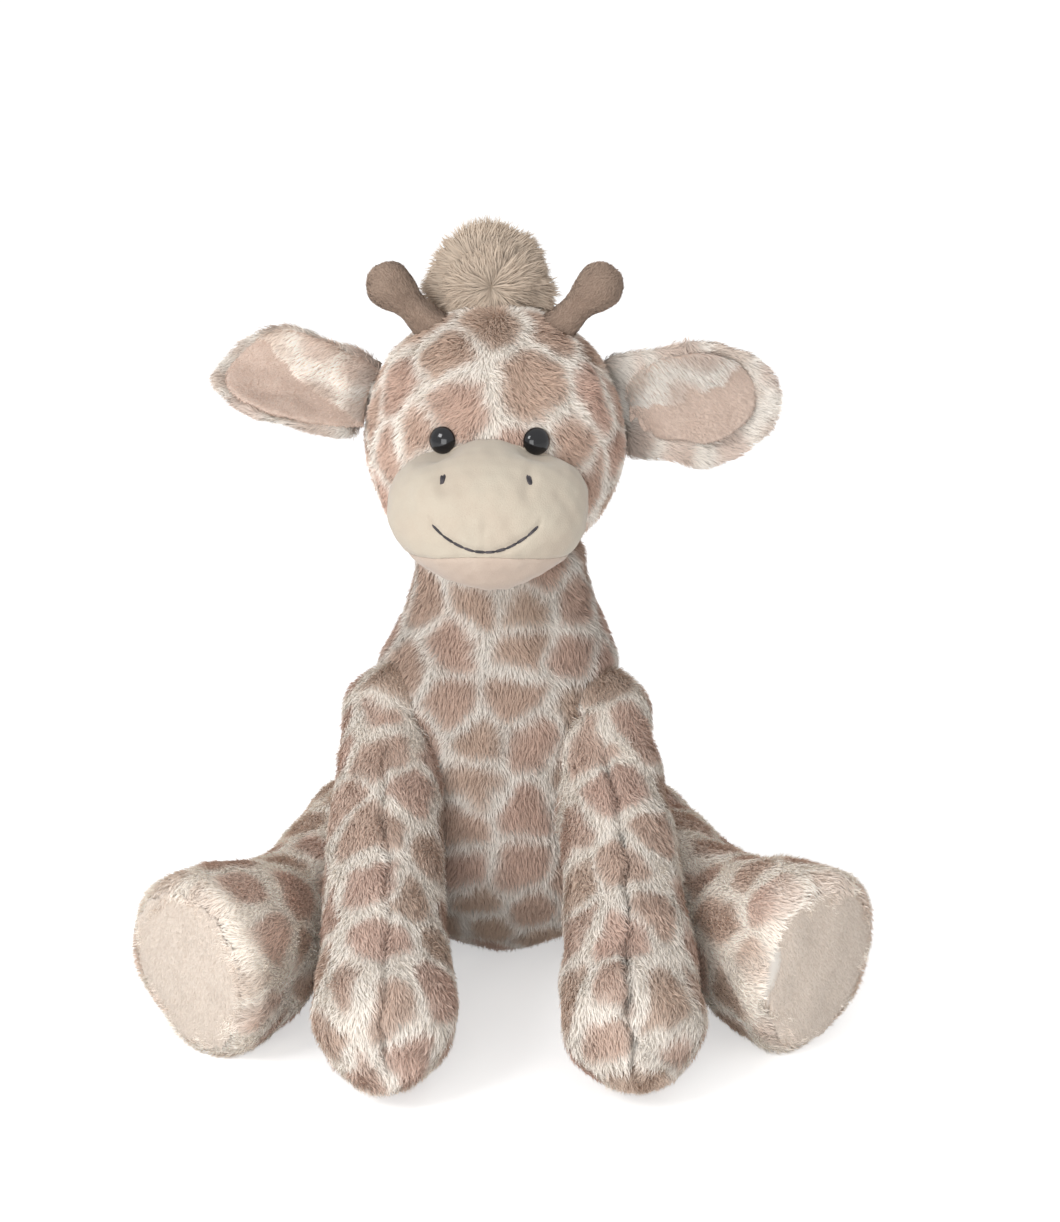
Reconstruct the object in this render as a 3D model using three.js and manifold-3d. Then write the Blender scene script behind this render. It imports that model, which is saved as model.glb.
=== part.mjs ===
import * as THREE from 'three';
import { mergeVertices } from 'three/addons/utils/BufferGeometryUtils.js';
import Module from 'manifold-3d';

// A seated plush giraffe with sewn-on head, ears, legs and tail, in millimetres.
// It faces -Y with +Z up, so its own left side is +X. The origin is the middle of its seat.
// Every stuffed form is a cloth cover over its own stuffing, and each joint is a ball in a socket.

// Cloth, clearances and cuts
const plushWall = 3;
const velourWall = 1.8;
const clearance = 0.3;
const overrun = 20;
const flatDepth = 0.5;

// Torso and neck, one pear-shaped form
const torsoHeight = 178;
const torsoWidth = 120;
const torsoDepth = 106;
const torsoSides = 16;
const pouchHeight = 27;
const torsoShares = [
  { up: 0, width: 0, depth: 0, back: 0.02 },
  { up: 0.002, width: 0.38, depth: 0.38, back: 0.02 },
  { up: 0.012, width: 0.54, depth: 0.52, back: 0.05 },
  { up: 0.04, width: 0.7, depth: 0.68, back: 0.065 },
  { up: 0.1, width: 0.88, depth: 0.87, back: 0.045 },
  { up: 0.19, width: 0.985, depth: 0.98, back: 0.02 },
  { up: 0.3, width: 1, depth: 0.985, back: 0 },
  { up: 0.42, width: 0.96, depth: 0.93, back: -0.005 },
  { up: 0.54, width: 0.88, depth: 0.83, back: -0.01 },
  { up: 0.66, width: 0.76, depth: 0.72, back: -0.012 },
  { up: 0.77, width: 0.65, depth: 0.64, back: -0.014 },
  { up: 0.87, width: 0.58, depth: 0.6, back: -0.016 },
  { up: 0.94, width: 0.545, depth: 0.58, back: -0.018 },
  { up: 1, width: 0, depth: 0, back: -0.018 },
];

// Head, a ball whose centre is the point it turns about, dipped into the top of the neck
const headRadius = 50;
const headDip = 20;
const headUp = torsoHeight + headRadius - headDip;
const headBack = -2;
const headSides = 18;
const headRings = 7;
const crownStretchShare = 1.03;
const neckOpening = 18;
const headTurn = -2;

// Muzzle, a blunt form that points forward out of the face, set below the head's centre
const muzzleBelow = 12.5;
const muzzleUp = headUp - muzzleBelow;
const muzzleDrop = 2;
const muzzleReach = 32;
const muzzleWidth = 72;
const muzzleHeight = 52;
const muzzleSides = 14;
const muzzleInset = 16;
const muzzleEggShare = 0.1;
const muzzleShares = [
  { along: 0, width: 0, height: 0 },
  { along: 0.08, width: 0.55, height: 0.55 },
  { along: 0.27, width: 0.86, height: 0.82 },
  { along: 0.42, width: 0.985, height: 0.965 },
  { along: 0.58, width: 1, height: 1 },
  { along: 0.74, width: 0.93, height: 0.93 },
  { along: 0.87, width: 0.75, height: 0.75 },
  { along: 0.96, width: 0.46, height: 0.46 },
  { along: 1, width: 0, height: 0 },
];
const chinSeamDrop = 11.5;

// Mouth and nostrils, rows of thread on the muzzle, placed from its middle height
const mouthWidth = 37;
const mouthDrop = 6.5;
const mouthRise = 9;
const mouthStitches = 10;
const stitchShares = [
  { along: 0.12, width: 1 },
  { along: 0.84, width: 1 },
  { along: 0.98, width: 0.5 },
];
const threadWidth = 1.3;
const nostrilAcross = 15.2;
const nostrilRise = 16.8;
const nostrilHeight = 4.6;
const nostrilWidth = 2.6;
const threadSides = 5;

// Safety eyes: a domed button with a shank, held by a washer behind the cloth
const eyeRadius = 5;
const eyeDome = 3.4;
const eyeAcross = 17.2;
const eyeRise = 11.5;
const eyeSink = 0.9;
const shankRadius = 1.5;
const shankLength = 9;
const washerRadius = 5.5;
const washerThickness = 1.4;
const eyeSides = 12;
const domeSteps = 3;

// Horns, a waisted stem with a round knob, rooted in the crown. Degrees from upright come last.
const hornSink = 7.5;
const hornLength = 27.6;
const hornRootAngle = 26.6;
const hornLeanAngle = 45;
const hornStem = 12.6;
const hornKnob = 18.6;
const hornSides = 10;
const hornWall = 1.8;
const stemShares = [
  { along: 0, width: 1.2 },
  { along: 0.35, width: 1.08 },
  { along: 0.62, width: 1 },
];
const knobShares = [
  { beyond: -0.33, width: 0.93 },
  { beyond: 0.25, width: 1 },
  { beyond: 0.75, width: 0.68 },
  { beyond: 1, width: 0 },
];

// Topknot, a tuft of long pile on the crown, behind the brow
const topknotAcross = -2.4;
const topknotBack = 17;
const topknotRise = 2;
const topknotWidth = 48;
const topknotDepth = 42;
const topknotHeight = 50;
const topknotSides = 14;

// Ears, a cupped leaf on a pinched root, with a velour lining in front
const earSink = 6;
const earBack = 4;
const earRise = 12;
const earLength = 64;
const earHeight = 50;
const earThickness = 11;
const earCup = 8;
const earRootRadius = 7.5;
const earRootHeight = 30;
const earSides = 10;
const earShares = [
  { along: 0, height: 0, thickness: 0, cup: 0.15 },
  { along: 0.04, height: 0.46, thickness: 0.8, cup: 0.15 },
  { along: 0.16, height: 0.8, thickness: 1, cup: 0.35 },
  { along: 0.34, height: 0.93, thickness: 0.95, cup: 0.7 },
  { along: 0.54, height: 1, thickness: 0.85, cup: 1 },
  { along: 0.74, height: 0.87, thickness: 0.72, cup: 0.95 },
  { along: 0.89, height: 0.58, thickness: 0.58, cup: 0.6 },
  { along: 0.97, height: 0.28, thickness: 0.42, cup: 0.25 },
  { along: 1, height: 0, thickness: 0, cup: 0.1 },
];
const liningScaleShare = 0.76;
const liningProud = 2.2;

// Front legs, which hang from the shoulders to the floor in front
const shoulderAcross = 39.5;
const shoulderBack = -15;
const shoulderUp = 101.5;
const shoulderRadius = 21;
const frontFootBack = -125;
const frontLegWidth = 45;
const frontFootWidth = 54;
const frontToe = 25;
const frontLegSides = 10;
const frontLegShares = [
  { along: 0, width: 0.8, toFoot: 0 },
  { along: 0.13, width: 0.9, toFoot: 0 },
  { along: 0.32, width: 0.96, toFoot: 0 },
  { along: 0.54, width: 1.02, toFoot: 0 },
  { along: 0.74, width: 1.02, toFoot: 0.3 },
  { along: 0.9, width: 1, toFoot: 0.85 },
  { along: 1, width: 1, toFoot: 1 },
];
const toeShares = [
  { beyond: 0.45, width: 0.86 },
  { beyond: 0.8, width: 0.56 },
  { beyond: 1, width: 0 },
];

// Hind legs, which lie on the floor and point out and forward, with flat soles
const hipAcross = 52;
const hipBack = 12;
const hipUp = 31;
const hipRadius = 30.5;
const hindLegLength = 121.9;
const hindFootUp = 33;
const hindLegWidth = 60;
const ankleWidth = 51;
const hindFootWidth = 66;
const hindFootHeight = 73;
const hindLegSides = 12;
const soleCrown = 5;
const soleRim = 4;
const soleRimShare = 0.9;
const footEggShare = 0.14;
const hindLegShares = [
  { along: 0, width: 0.88, toAnkle: 0, toFoot: 0, egg: 0 },
  { along: 0.2, width: 0.95, toAnkle: 0.1, toFoot: 0, egg: 0 },
  { along: 0.42, width: 1, toAnkle: 0.7, toFoot: 0, egg: 0 },
  { along: 0.6, width: 1, toAnkle: 1, toFoot: 0.15, egg: 0.3 },
  { along: 0.78, width: 1, toAnkle: 1, toFoot: 0.72, egg: 0.7 },
  { along: 0.9, width: 1, toAnkle: 1, toFoot: 0.97, egg: 1 },
  { along: 1, width: 1, toAnkle: 1, toFoot: 1, egg: 1 },
];

// Tail, a thin cord of cloth with a tuft at its end
const tailUp = 34;
const tailBack = 49;
const tailRootRadius = 7;
const tailWidth = 9;
const tailReach = 40;
const tailEndUp = 9;
const tuftWidth = 15;
const tuftLength = 32;
const tailSides = 8;
const cordShares = [
  { along: -0.08, width: 0 },
  { along: 0, width: 1 },
  { along: 0.3, width: 1 },
  { along: 0.6, width: 1 },
  { along: 0.95, width: 1 },
  { along: 1, width: 0 },
];
const tuftShares = [
  { beyond: -0.3, width: 0 },
  { beyond: -0.2, width: 0.8 },
  { beyond: 0.1, width: 1 },
  { beyond: 0.45, width: 0.72 },
  { beyond: 0.7, width: 0 },
];

// How each side sits: how far out its front foot stands and that leg bows, then its angles in
// degrees
const leftFootAcross = 49.5;
const rightFootAcross = 38;
const leftBow = 4;
const rightBow = 4;
const leftAngles = { splay: 31.3, toeOut: 9.7, roll: 18, earLift: 3, earTwist: 4 };
const rightAngles = { splay: 27.5, toeOut: 12.5, roll: 20, earLift: 9, earTwist: 54 };
const seated = {
  left: { sign: 1, frontFootAcross: leftFootAcross, bow: leftBow, ...leftAngles },
  right: { sign: -1, frontFootAcross: rightFootAcross, bow: rightBow, ...rightAngles },
};

// Joints: sides of a ball and of the socket around it, the slack a limb keeps in its socket, and
// the mouth in a limb's root
const ballSides = 12;
const barrelSides = 10;
const jointSlackShare = 1 / 3;
const mouthShare = 1 / 2;

// Sides of a cover's inside against its outside, and how near points count as one or as needless
const insideSidesShare = 0.55;
const weldShare = 0.001;
const pointShare = 1 / 6;
const settleRounds = 4;

// Degrees that the front legs swing up and the ears swing each way, cleared in steps
const frontLegSwing = 45;
const frontLegSteps = 1;
const earSwing = 20;
const earSteps = 3;

const plush = { color: 0xc2a797, roughness: 0.95, metalness: 0 };
const velour = { color: 0xe6d9c8, roughness: 0.85, metalness: 0 };
const hornVelour = { color: 0xa48c80, roughness: 0.85, metalness: 0 };
const longPile = { color: 0xb9a294, roughness: 0.95, metalness: 0 };
const stuffing = { color: 0xf2f0ea, roughness: 1, metalness: 0 };
const pellets = { color: 0xd8d4c8, roughness: 0.7, metalness: 0 };
const eyePlastic = { color: 0x1b1a20, roughness: 0.12, metalness: 0 };
const washerPlastic = { color: 0xe8e8e4, roughness: 0.4, metalness: 0 };
const thread = { color: 0x3a3436, roughness: 0.8, metalness: 0 };

const wasm = await Module();
wasm.setup();

// Solids, joins and cuts

function asSolid(geometry) {
  const bare = new THREE.BufferGeometry();
  bare.setAttribute('position', geometry.getAttribute('position').clone());
  if (geometry.index) bare.setIndex(geometry.index.clone());
  const merged = mergeVertices(bare, clearance * weldShare);
  return new wasm.Manifold(new wasm.Mesh({
    numProp: 3,
    vertProperties: Float32Array.from(merged.attributes.position.array),
    triVerts: Uint32Array.from(merged.index.array),
  }));
}

function asGeometry(solid) {
  const { vertProperties, triVerts } = solid.getMesh();
  const geometry = new THREE.BufferGeometry();
  geometry.setAttribute('position', new THREE.BufferAttribute(Float32Array.from(vertProperties), 3));
  geometry.setIndex(new THREE.BufferAttribute(Uint32Array.from(triVerts), 1));
  return geometry;
}

function cut(base, ...tools) {
  return tools.reduce((left, tool) => left.subtract(tool), base);
}

function block(width, depth, height, centre, turn = new THREE.Quaternion()) {
  const geometry = new THREE.BoxGeometry(width, depth, height);
  geometry.applyQuaternion(turn).translate(centre.x, centre.y, centre.z);
  return asSolid(geometry);
}

// Everything below a level, to cut a form flat or to part it there
function below(level) {
  const reach = torsoHeight * 2;
  return block(reach, reach, reach, new THREE.Vector3(0, 0, level - reach / 2));
}

function above(level) {
  const reach = torsoHeight * 2;
  return block(reach, reach, reach, new THREE.Vector3(0, 0, level + reach / 2));
}

// A ball with its poles on the hinge axis. A wider one of the same facets turns clear around it.
function ball(centre, radius, axis) {
  const geometry = new THREE.SphereGeometry(radius, ballSides, ballSides / 2);
  geometry.applyQuaternion(new THREE.Quaternion().setFromUnitVectors(new THREE.Vector3(0, 1, 0), axis));
  geometry.translate(centre.x, centre.y, centre.z);
  return asSolid(geometry);
}

// The corners of a socket stand this far out, so that the middles of its facets clear the ball
function socketRadius(radius, sides) {
  return (radius + clearance) / Math.cos(Math.PI / sides);
}

function rod(from, direction, radius, length, sides) {
  const geometry = new THREE.CylinderGeometry(radius, radius, length, sides);
  const turn = new THREE.Quaternion().setFromUnitVectors(new THREE.Vector3(0, 1, 0), direction);
  const middle = from.clone().addScaledVector(direction, length / 2);
  geometry.applyQuaternion(turn).translate(middle.x, middle.y, middle.z);
  return asSolid(geometry);
}

// A soft form is a row of rings strung on a curve and closed by a point at each end. A ring has
// its place along the curve, its half width across and its half depth, and may be shifted along
// its depth, swollen on one side like an egg, or cupped.
function frameOn(curve, along, across) {
  const length = curve.getLength();
  const share = Math.min(Math.max(along / length, 0), 1);
  const tangent = curve.getTangentAt(share);
  const centre = curve.getPointAt(share).addScaledVector(tangent, along - share * length);
  const side = across.clone().addScaledVector(tangent, -across.dot(tangent)).normalize();
  return { centre, side, deep: new THREE.Vector3().crossVectors(tangent, side) };
}

function softForm({ curve, rings, sides, across }) {
  const vertices = [];
  const triangles = [];
  for (const ring of rings) {
    const { centre, side, deep } = frameOn(curve, ring.along, across);
    centre.addScaledVector(deep, ring.shift ?? 0);
    const count = ring.wide > 0 ? sides : 1;
    for (let step = 0; step < count; step += 1) {
      const angle = (2 * Math.PI * step) / sides;
      const width = ring.wide * Math.cos(angle) * (1 + (ring.egg ?? 0) * Math.sin(angle));
      const depth = ring.deep * Math.sin(angle) + (ring.cup ?? 0) * Math.cos(angle) ** 2;
      const point = centre.clone();
      if (count > 1) point.addScaledVector(side, width).addScaledVector(deep, depth);
      vertices.push(point);
    }
  }
  const last = vertices.length - 1;
  const ringStart = (ring) => 1 + ring * sides;
  for (let step = 0; step < sides; step += 1) {
    const next = (step + 1) % sides;
    triangles.push(0, ringStart(0) + next, ringStart(0) + step);
    for (let ring = 0; ring < rings.length - 3; ring += 1) {
      const [low, high] = [ringStart(ring), ringStart(ring + 1)];
      triangles.push(low + step, low + next, high + next, low + step, high + next, high + step);
    }
    const end = ringStart(rings.length - 3);
    triangles.push(last, end + step, end + next);
  }
  const geometry = new THREE.BufferGeometry().setFromPoints(vertices);
  geometry.setIndex(triangles);
  return asSolid(geometry);
}

// The same form drawn in by an even depth, or grown by it where the depth is negative
function drawnIn(form, depth) {
  const size = (ring) => (ring.wide + ring.deep) / 2;
  const last = form.rings.length - 1;
  const rings = form.rings.map((ring, place) => {
    if (place === 0) return { ...ring, along: ring.along + depth };
    if (place === last) return { ...ring, along: ring.along - depth };
    const [before, after] = [form.rings[place - 1], form.rings[place + 1]];
    const run = after.along - before.along;
    const rise = size(after) - size(before);
    const slope = Math.hypot(run, rise);
    return {
      ...ring,
      along: ring.along + (depth * rise) / slope,
      wide: ring.wide - (depth * run) / slope,
      deep: ring.deep - (depth * run) / slope,
    };
  });
  return { ...form, rings };
}

// The inside of a cover, or its stuffing: the form drawn in, with fewer sides and rings
function insideOf(form, depth) {
  const drawn = drawnIn(form, depth);
  const last = drawn.rings.length - 1;
  const rings = drawn.rings.filter((ring, place) => place < 2 || place > last - 2 || place % 2 === 0);
  return softForm({ ...drawn, rings, sides: Math.ceil(form.sides * insideSidesShare) });
}

const sideways = new THREE.Vector3(1, 0, 0);
const upward = new THREE.Vector3(0, 0, 1);
const radians = THREE.MathUtils.degToRad;

// The forms of the torso and the head, which the limbs, ears and neck are cut to

const torsoForm = {
  curve: new THREE.LineCurve3(
    new THREE.Vector3(0, 0, -flatDepth),
    new THREE.Vector3(0, 0, torsoHeight - flatDepth),
  ),
  sides: torsoSides,
  across: sideways,
  rings: torsoShares.map(({ up, width, depth, back }) => ({
    along: up * torsoHeight,
    wide: (width * torsoWidth) / 2,
    deep: (depth * torsoDepth) / 2,
    shift: back * torsoDepth,
  })),
};

const headCentre = new THREE.Vector3(0, headBack, headUp);

// The lower half is a true ball, so that it turns in the dish at the top of the neck
function headForm() {
  const rings = [];
  for (let step = 0; step <= headRings + 1; step += 1) {
    const angle = Math.PI * (step / (headRings + 1) - 1 / 2);
    const stretch = angle > 0 ? crownStretchShare : 1;
    const radius = step === 0 || step === headRings + 1 ? 0 : headRadius * Math.cos(angle);
    rings.push({
      along: headRadius * (1 + stretch * Math.sin(angle)),
      wide: radius,
      deep: radius,
    });
  }
  const foot = headCentre.clone().addScaledVector(upward, -headRadius);
  const crown = headCentre.clone().addScaledVector(upward, headRadius);
  return { curve: new THREE.LineCurve3(foot, crown), sides: headSides, across: sideways, rings };
}

const head = headForm();

const muzzleRoot = new THREE.Vector3(0, headBack - muzzleInset, muzzleUp);
const muzzleTip = new THREE.Vector3(0, headBack - headRadius - muzzleReach, muzzleUp - muzzleDrop);
const muzzleLength = muzzleRoot.distanceTo(muzzleTip);
const muzzleForm = {
  curve: new THREE.LineCurve3(muzzleRoot, muzzleTip),
  sides: muzzleSides,
  across: sideways,
  rings: muzzleShares.map(({ along, width, height }) => ({
    along: along * muzzleLength,
    wide: (width * muzzleWidth) / 2,
    deep: (height * muzzleHeight) / 2,
    egg: muzzleEggShare,
  })),
};

// What a piece has to clear as it swings about a hinge: the still solid, turned back in steps
function throughSwing(still, centre, axis, swing, steps) {
  const back = new THREE.Matrix4().makeTranslation(-centre.x, -centre.y, -centre.z);
  const solids = [still];
  for (let step = 1; step <= steps; step += 1) {
    const turn = new THREE.Matrix4().makeRotationAxis(axis, (-radians(swing) * step) / steps);
    const place = new THREE.Matrix4().makeTranslation(centre).multiply(turn).multiply(back);
    solids.push(still.transform(place.elements));
  }
  return solids;
}

// Joint centres, with the ball that a limb keeps and the wider socket that it turns in

function jointAt(centre, radius, axis) {
  const kept = radius + clearance * jointSlackShare;
  return {
    centre,
    solid: (depth) => ball(centre, radius - depth, axis),
    kept: (depth) => ball(centre, kept - depth, axis),
    socket: () => ball(centre, socketRadius(kept, ballSides), axis),
    mouth: radius * mouthShare,
  };
}

function shoulder(sign) {
  const centre = new THREE.Vector3(sign * shoulderAcross, shoulderBack, shoulderUp);
  return jointAt(centre, shoulderRadius, sideways);
}

function hip(sign) {
  return jointAt(new THREE.Vector3(sign * hipAcross, hipBack, hipUp), hipRadius, upward);
}

const tailJoint = jointAt(new THREE.Vector3(0, tailBack, tailUp), tailRootRadius, sideways);

// A limb is a ball at its joint with a swept form growing out of it. The torso cuts both, apart
// from what lies in the socket, and so do the forms it leans on. A mouth at the root leads to the
// stuffing.
function limb(joint, form, { neighbours = [], axis = upward, swing = 0, steps = 0 }) {
  const torso = (depth) => cut(softForm(drawnIn(torsoForm, -clearance - depth)), joint.kept(depth));
  const others = (depth) => neighbours.map((other) => softForm(drawnIn(other, -clearance - depth)));
  const passed = throughSwing(torso(0), joint.centre, axis, swing, steps);
  const outside = cut(joint.solid(0).add(softForm(form)), ...passed, ...others(0));
  const inside = (depth) => cut(insideOf(form, depth), torso(depth), ...others(depth));
  const { side, deep } = frameOn(form.curve, 0, form.across);
  const inward = new THREE.Vector3().crossVectors(deep, side);
  const mouth = rod(joint.centre, inward, joint.mouth, joint.mouth * 2 + overrun, ballSides / 2);
  return {
    cover: cut(outside, inside(plushWall), mouth, below(0)),
    filling: inside(plushWall + clearance),
  };
}

// Lowers the end of a curve until the form on it dips below the floor by the depth of its flat
function settle(formAt, startUp) {
  let up = startUp;
  for (let round = 0; round < settleRounds; round += 1) {
    const lowest = softForm(formAt(up)).boundingBox().min[2];
    up -= lowest + flatDepth;
  }
  return formAt(up);
}

// Nodes: each piece is a mesh placed at its own anchor

const giraffe = new THREE.Group();

// Cuts leave points that carry no shape, and those go first
function place(parent, name, solid, material, anchor = new THREE.Vector3()) {
  const geometry = asGeometry(solid.asOriginal().simplify(clearance * pointShare));
  geometry.translate(-anchor.x, -anchor.y, -anchor.z);
  const mesh = new THREE.Mesh(geometry, new THREE.MeshStandardMaterial(material));
  mesh.name = name;
  mesh.position.copy(anchor).sub(parent.userData.origin ?? new THREE.Vector3());
  parent.add(mesh);
}

// The head and its ears are made facing forward, then turned about the head's centre
const headGroup = new THREE.Group();
headGroup.userData.origin = headCentre;
headGroup.position.copy(headCentre);
headGroup.rotation.z = radians(headTurn);
giraffe.add(headGroup);

function addTorso() {
  const sockets = [
    softForm(drawnIn(head, headRadius - socketRadius(headRadius, headSides))),
    shoulder(1).socket(),
    shoulder(-1).socket(),
    hip(1).socket(),
    hip(-1).socket(),
    tailJoint.socket(),
  ];
  const inside = insideOf(torsoForm, plushWall);
  const stuffed = cut(insideOf(torsoForm, plushWall + clearance), ...sockets);
  place(giraffe, 'torso_cover', cut(softForm(torsoForm), inside, below(0), ...sockets), plush);
  place(giraffe, 'pellet_pouch', stuffed.intersect(below(pouchHeight)), pellets);
  place(giraffe, 'torso_filling', stuffed.intersect(above(pouchHeight + clearance)), stuffing);
}

// An eye stands on the head ball. Its axis runs out of the head's centre.
function eyeAxis(sign) {
  const fore = Math.sqrt(headRadius ** 2 - eyeAcross ** 2 - eyeRise ** 2);
  return new THREE.Vector3(sign * eyeAcross, -fore, eyeRise).normalize();
}

function turned(profile, axis, distance) {
  const geometry = new THREE.LatheGeometry(profile, eyeSides);
  const turn = new THREE.Quaternion().setFromUnitVectors(new THREE.Vector3(0, 1, 0), axis);
  const foot = headCentre.clone().addScaledVector(axis, distance);
  geometry.applyQuaternion(turn).translate(foot.x, foot.y, foot.z);
  return asSolid(geometry);
}

function eyeProfile(grow) {
  const dome = [];
  for (let step = 0; step <= domeSteps; step += 1) {
    const angle = (Math.PI / 2) * (step / domeSteps);
    const radius = step === domeSteps ? 0 : (eyeRadius + grow) * Math.cos(angle);
    dome.push(new THREE.Vector2(radius, (eyeDome + grow) * Math.sin(angle)));
  }
  return [
    new THREE.Vector2(0, -shankLength - grow),
    new THREE.Vector2(shankRadius + grow, -shankLength - grow),
    new THREE.Vector2(shankRadius + grow, -grow),
    new THREE.Vector2(eyeRadius + grow, -grow),
    ...dome,
  ];
}

function ringProfile(inner, outer, thickness) {
  return [
    new THREE.Vector2(inner, 0),
    new THREE.Vector2(outer, 0),
    new THREE.Vector2(outer, thickness),
    new THREE.Vector2(inner, thickness),
    new THREE.Vector2(inner, 0),
  ];
}

function discProfile(radius, thickness) {
  return [
    new THREE.Vector2(0, 0),
    new THREE.Vector2(radius, 0),
    new THREE.Vector2(radius, thickness),
    new THREE.Vector2(0, thickness),
  ];
}

const eyeSeat = headRadius - eyeSink;
const washerSeat = headRadius - plushWall - clearance - washerThickness;

function eyePocket(sign) {
  const room = washerThickness + clearance * 2;
  const axis = eyeAxis(sign);
  const disc = turned(discProfile(washerRadius + clearance, room), axis, washerSeat - clearance);
  return turned(eyeProfile(clearance), axis, eyeSeat).add(disc);
}

function addEye(parent, side, sign) {
  const axis = eyeAxis(sign);
  const washer = ringProfile(shankRadius + clearance, washerRadius, washerThickness);
  place(parent, `eye_${side}`, turned(eyeProfile(0), axis, eyeSeat), eyePlastic);
  place(parent, `eye_washer_${side}`, turned(washer, axis, washerSeat), washerPlastic);
}

// Ear roots are barrels about an upright axis, so that an ear swings in its slot
function barrel(centre, radius, height) {
  const geometry = new THREE.SphereGeometry(1, barrelSides, Math.ceil(barrelSides / 2));
  geometry.rotateX(Math.PI / 2).scale(radius, radius, height / 2);
  geometry.translate(centre.x, centre.y, centre.z);
  return asSolid(geometry);
}

function earRoot(sign) {
  return headCentre.clone().add(new THREE.Vector3(sign * (headRadius - earSink), earBack, earRise));
}

function earSocket(sign) {
  const height = earRootHeight + clearance * 4;
  return barrel(earRoot(sign), socketRadius(earRootRadius + clearance, barrelSides), height);
}

// The thread rows are laid on the muzzle by rays cast at it from the front
function onMuzzle(across, up) {
  const target = new THREE.Mesh(asGeometry(softForm(muzzleForm)));
  const start = new THREE.Vector3(across, -headRadius * 3, up);
  const [hit] = new THREE.Raycaster(start, new THREE.Vector3(0, 1, 0)).intersectObject(target);
  return { point: hit.point, normal: hit.face.normal };
}

function stitch(centre, normal, along, length, width) {
  const geometry = new THREE.SphereGeometry(1, threadSides, threadSides - 1);
  geometry.scale(length / 2, width / 2, width / 2);
  const across = new THREE.Vector3().crossVectors(normal, along).normalize();
  const run = new THREE.Vector3().crossVectors(across, normal);
  geometry.applyMatrix4(new THREE.Matrix4().makeBasis(run, across, normal));
  const middle = centre.clone().addScaledVector(normal, width / 2 + clearance);
  geometry.translate(middle.x, middle.y, middle.z);
  return asSolid(geometry);
}

function mouthPoint(share) {
  const across = (share - 1 / 2) * mouthWidth;
  const rise = mouthRise * (2 * share - 1) ** 2;
  return onMuzzle(across, muzzleUp - mouthDrop + rise);
}

// One thread along the mouth, pinched where each stitch passes into the next
function addMouth(parent) {
  const points = [];
  for (let step = 0; step <= mouthStitches; step += 1) {
    const { point, normal } = mouthPoint(step / mouthStitches);
    points.push(point.addScaledVector(normal, threadWidth / 2 + clearance));
  }
  const curve = new THREE.CatmullRomCurve3(points);
  const length = curve.getLength();
  const rings = [{ along: 0, wide: 0, deep: 0 }];
  for (let step = 0; step < mouthStitches; step += 1) {
    for (const { along, width } of stitchShares) {
      const half = (width * threadWidth) / 2;
      rings.push({ along: ((step + along) / mouthStitches) * length, wide: half, deep: half });
    }
  }
  rings.push({ along: length, wide: 0, deep: 0 });
  const row = softForm({ curve, rings, sides: threadSides, across: upward });
  place(parent, 'mouth_stitch', row, thread);
}

function addNostril(parent, side, sign) {
  const { point, normal } = onMuzzle(sign * nostrilAcross, muzzleUp + nostrilRise);
  const mark = stitch(point, normal, upward, nostrilHeight, nostrilWidth);
  place(parent, `nostril_${side}`, mark, thread);
}

// The muzzle is cut by the head ball behind it, and parts at the seam above the chin
function addMuzzle(parent) {
  const face = softForm(drawnIn(head, -clearance));
  const seats = [face, eyePocket(1), eyePocket(-1)];
  const skin = cut(softForm(muzzleForm), insideOf(muzzleForm, velourWall), ...seats);
  const seamUp = muzzleUp - chinSeamDrop;
  place(parent, 'muzzle_panel', skin.intersect(above(seamUp)), velour);
  place(parent, 'chin_panel', skin.intersect(below(seamUp - clearance)), velour);
}

function hornForm(sign) {
  const leaning = (degrees) => {
    const angle = radians(degrees);
    return new THREE.Vector3(sign * Math.sin(angle), 0, Math.cos(angle));
  };
  const root = headCentre.clone().addScaledVector(leaning(hornRootAngle), headRadius - hornSink);
  const tip = root.clone().addScaledVector(leaning(hornLeanAngle), hornLength);
  const [stem, knob] = [hornStem / 2, hornKnob / 2];
  const rings = [{ along: -stem, wide: 0, deep: 0 }];
  for (const { along, width } of stemShares) {
    rings.push({ along: along * hornLength, wide: width * stem, deep: width * stem });
  }
  for (const { beyond, width } of knobShares) {
    rings.push({ along: hornLength + beyond * knob, wide: width * knob, deep: width * knob });
  }
  const curve = new THREE.LineCurve3(root, tip);
  return { curve, rings, sides: hornSides, across: new THREE.Vector3(0, 1, 0) };
}

function addHorn(parent, side, sign) {
  const form = hornForm(sign);
  const scalp = softForm(drawnIn(head, -clearance));
  const cover = cut(softForm(form), insideOf(form, hornWall), scalp);
  const filling = insideOf(form, hornWall + clearance);
  place(parent, `horn_${side}`, cover, hornVelour);
  place(parent, `horn_filling_${side}`, cut(filling, scalp), stuffing);
}

function addTopknot(parent) {
  const geometry = new THREE.SphereGeometry(1, topknotSides, topknotSides / 2);
  geometry.rotateX(Math.PI / 2).scale(topknotWidth / 2, topknotDepth / 2, topknotHeight / 2);
  const rise = headRadius + topknotRise;
  const middle = headCentre.clone().add(new THREE.Vector3(topknotAcross, topknotBack, rise));
  geometry.translate(middle.x, middle.y, middle.z);
  const neighbours = [head, hornForm(1), hornForm(-1)].map((form) => softForm(drawnIn(form, -clearance)));
  place(parent, 'topknot', cut(asSolid(geometry), ...neighbours), longPile);
}

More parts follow.
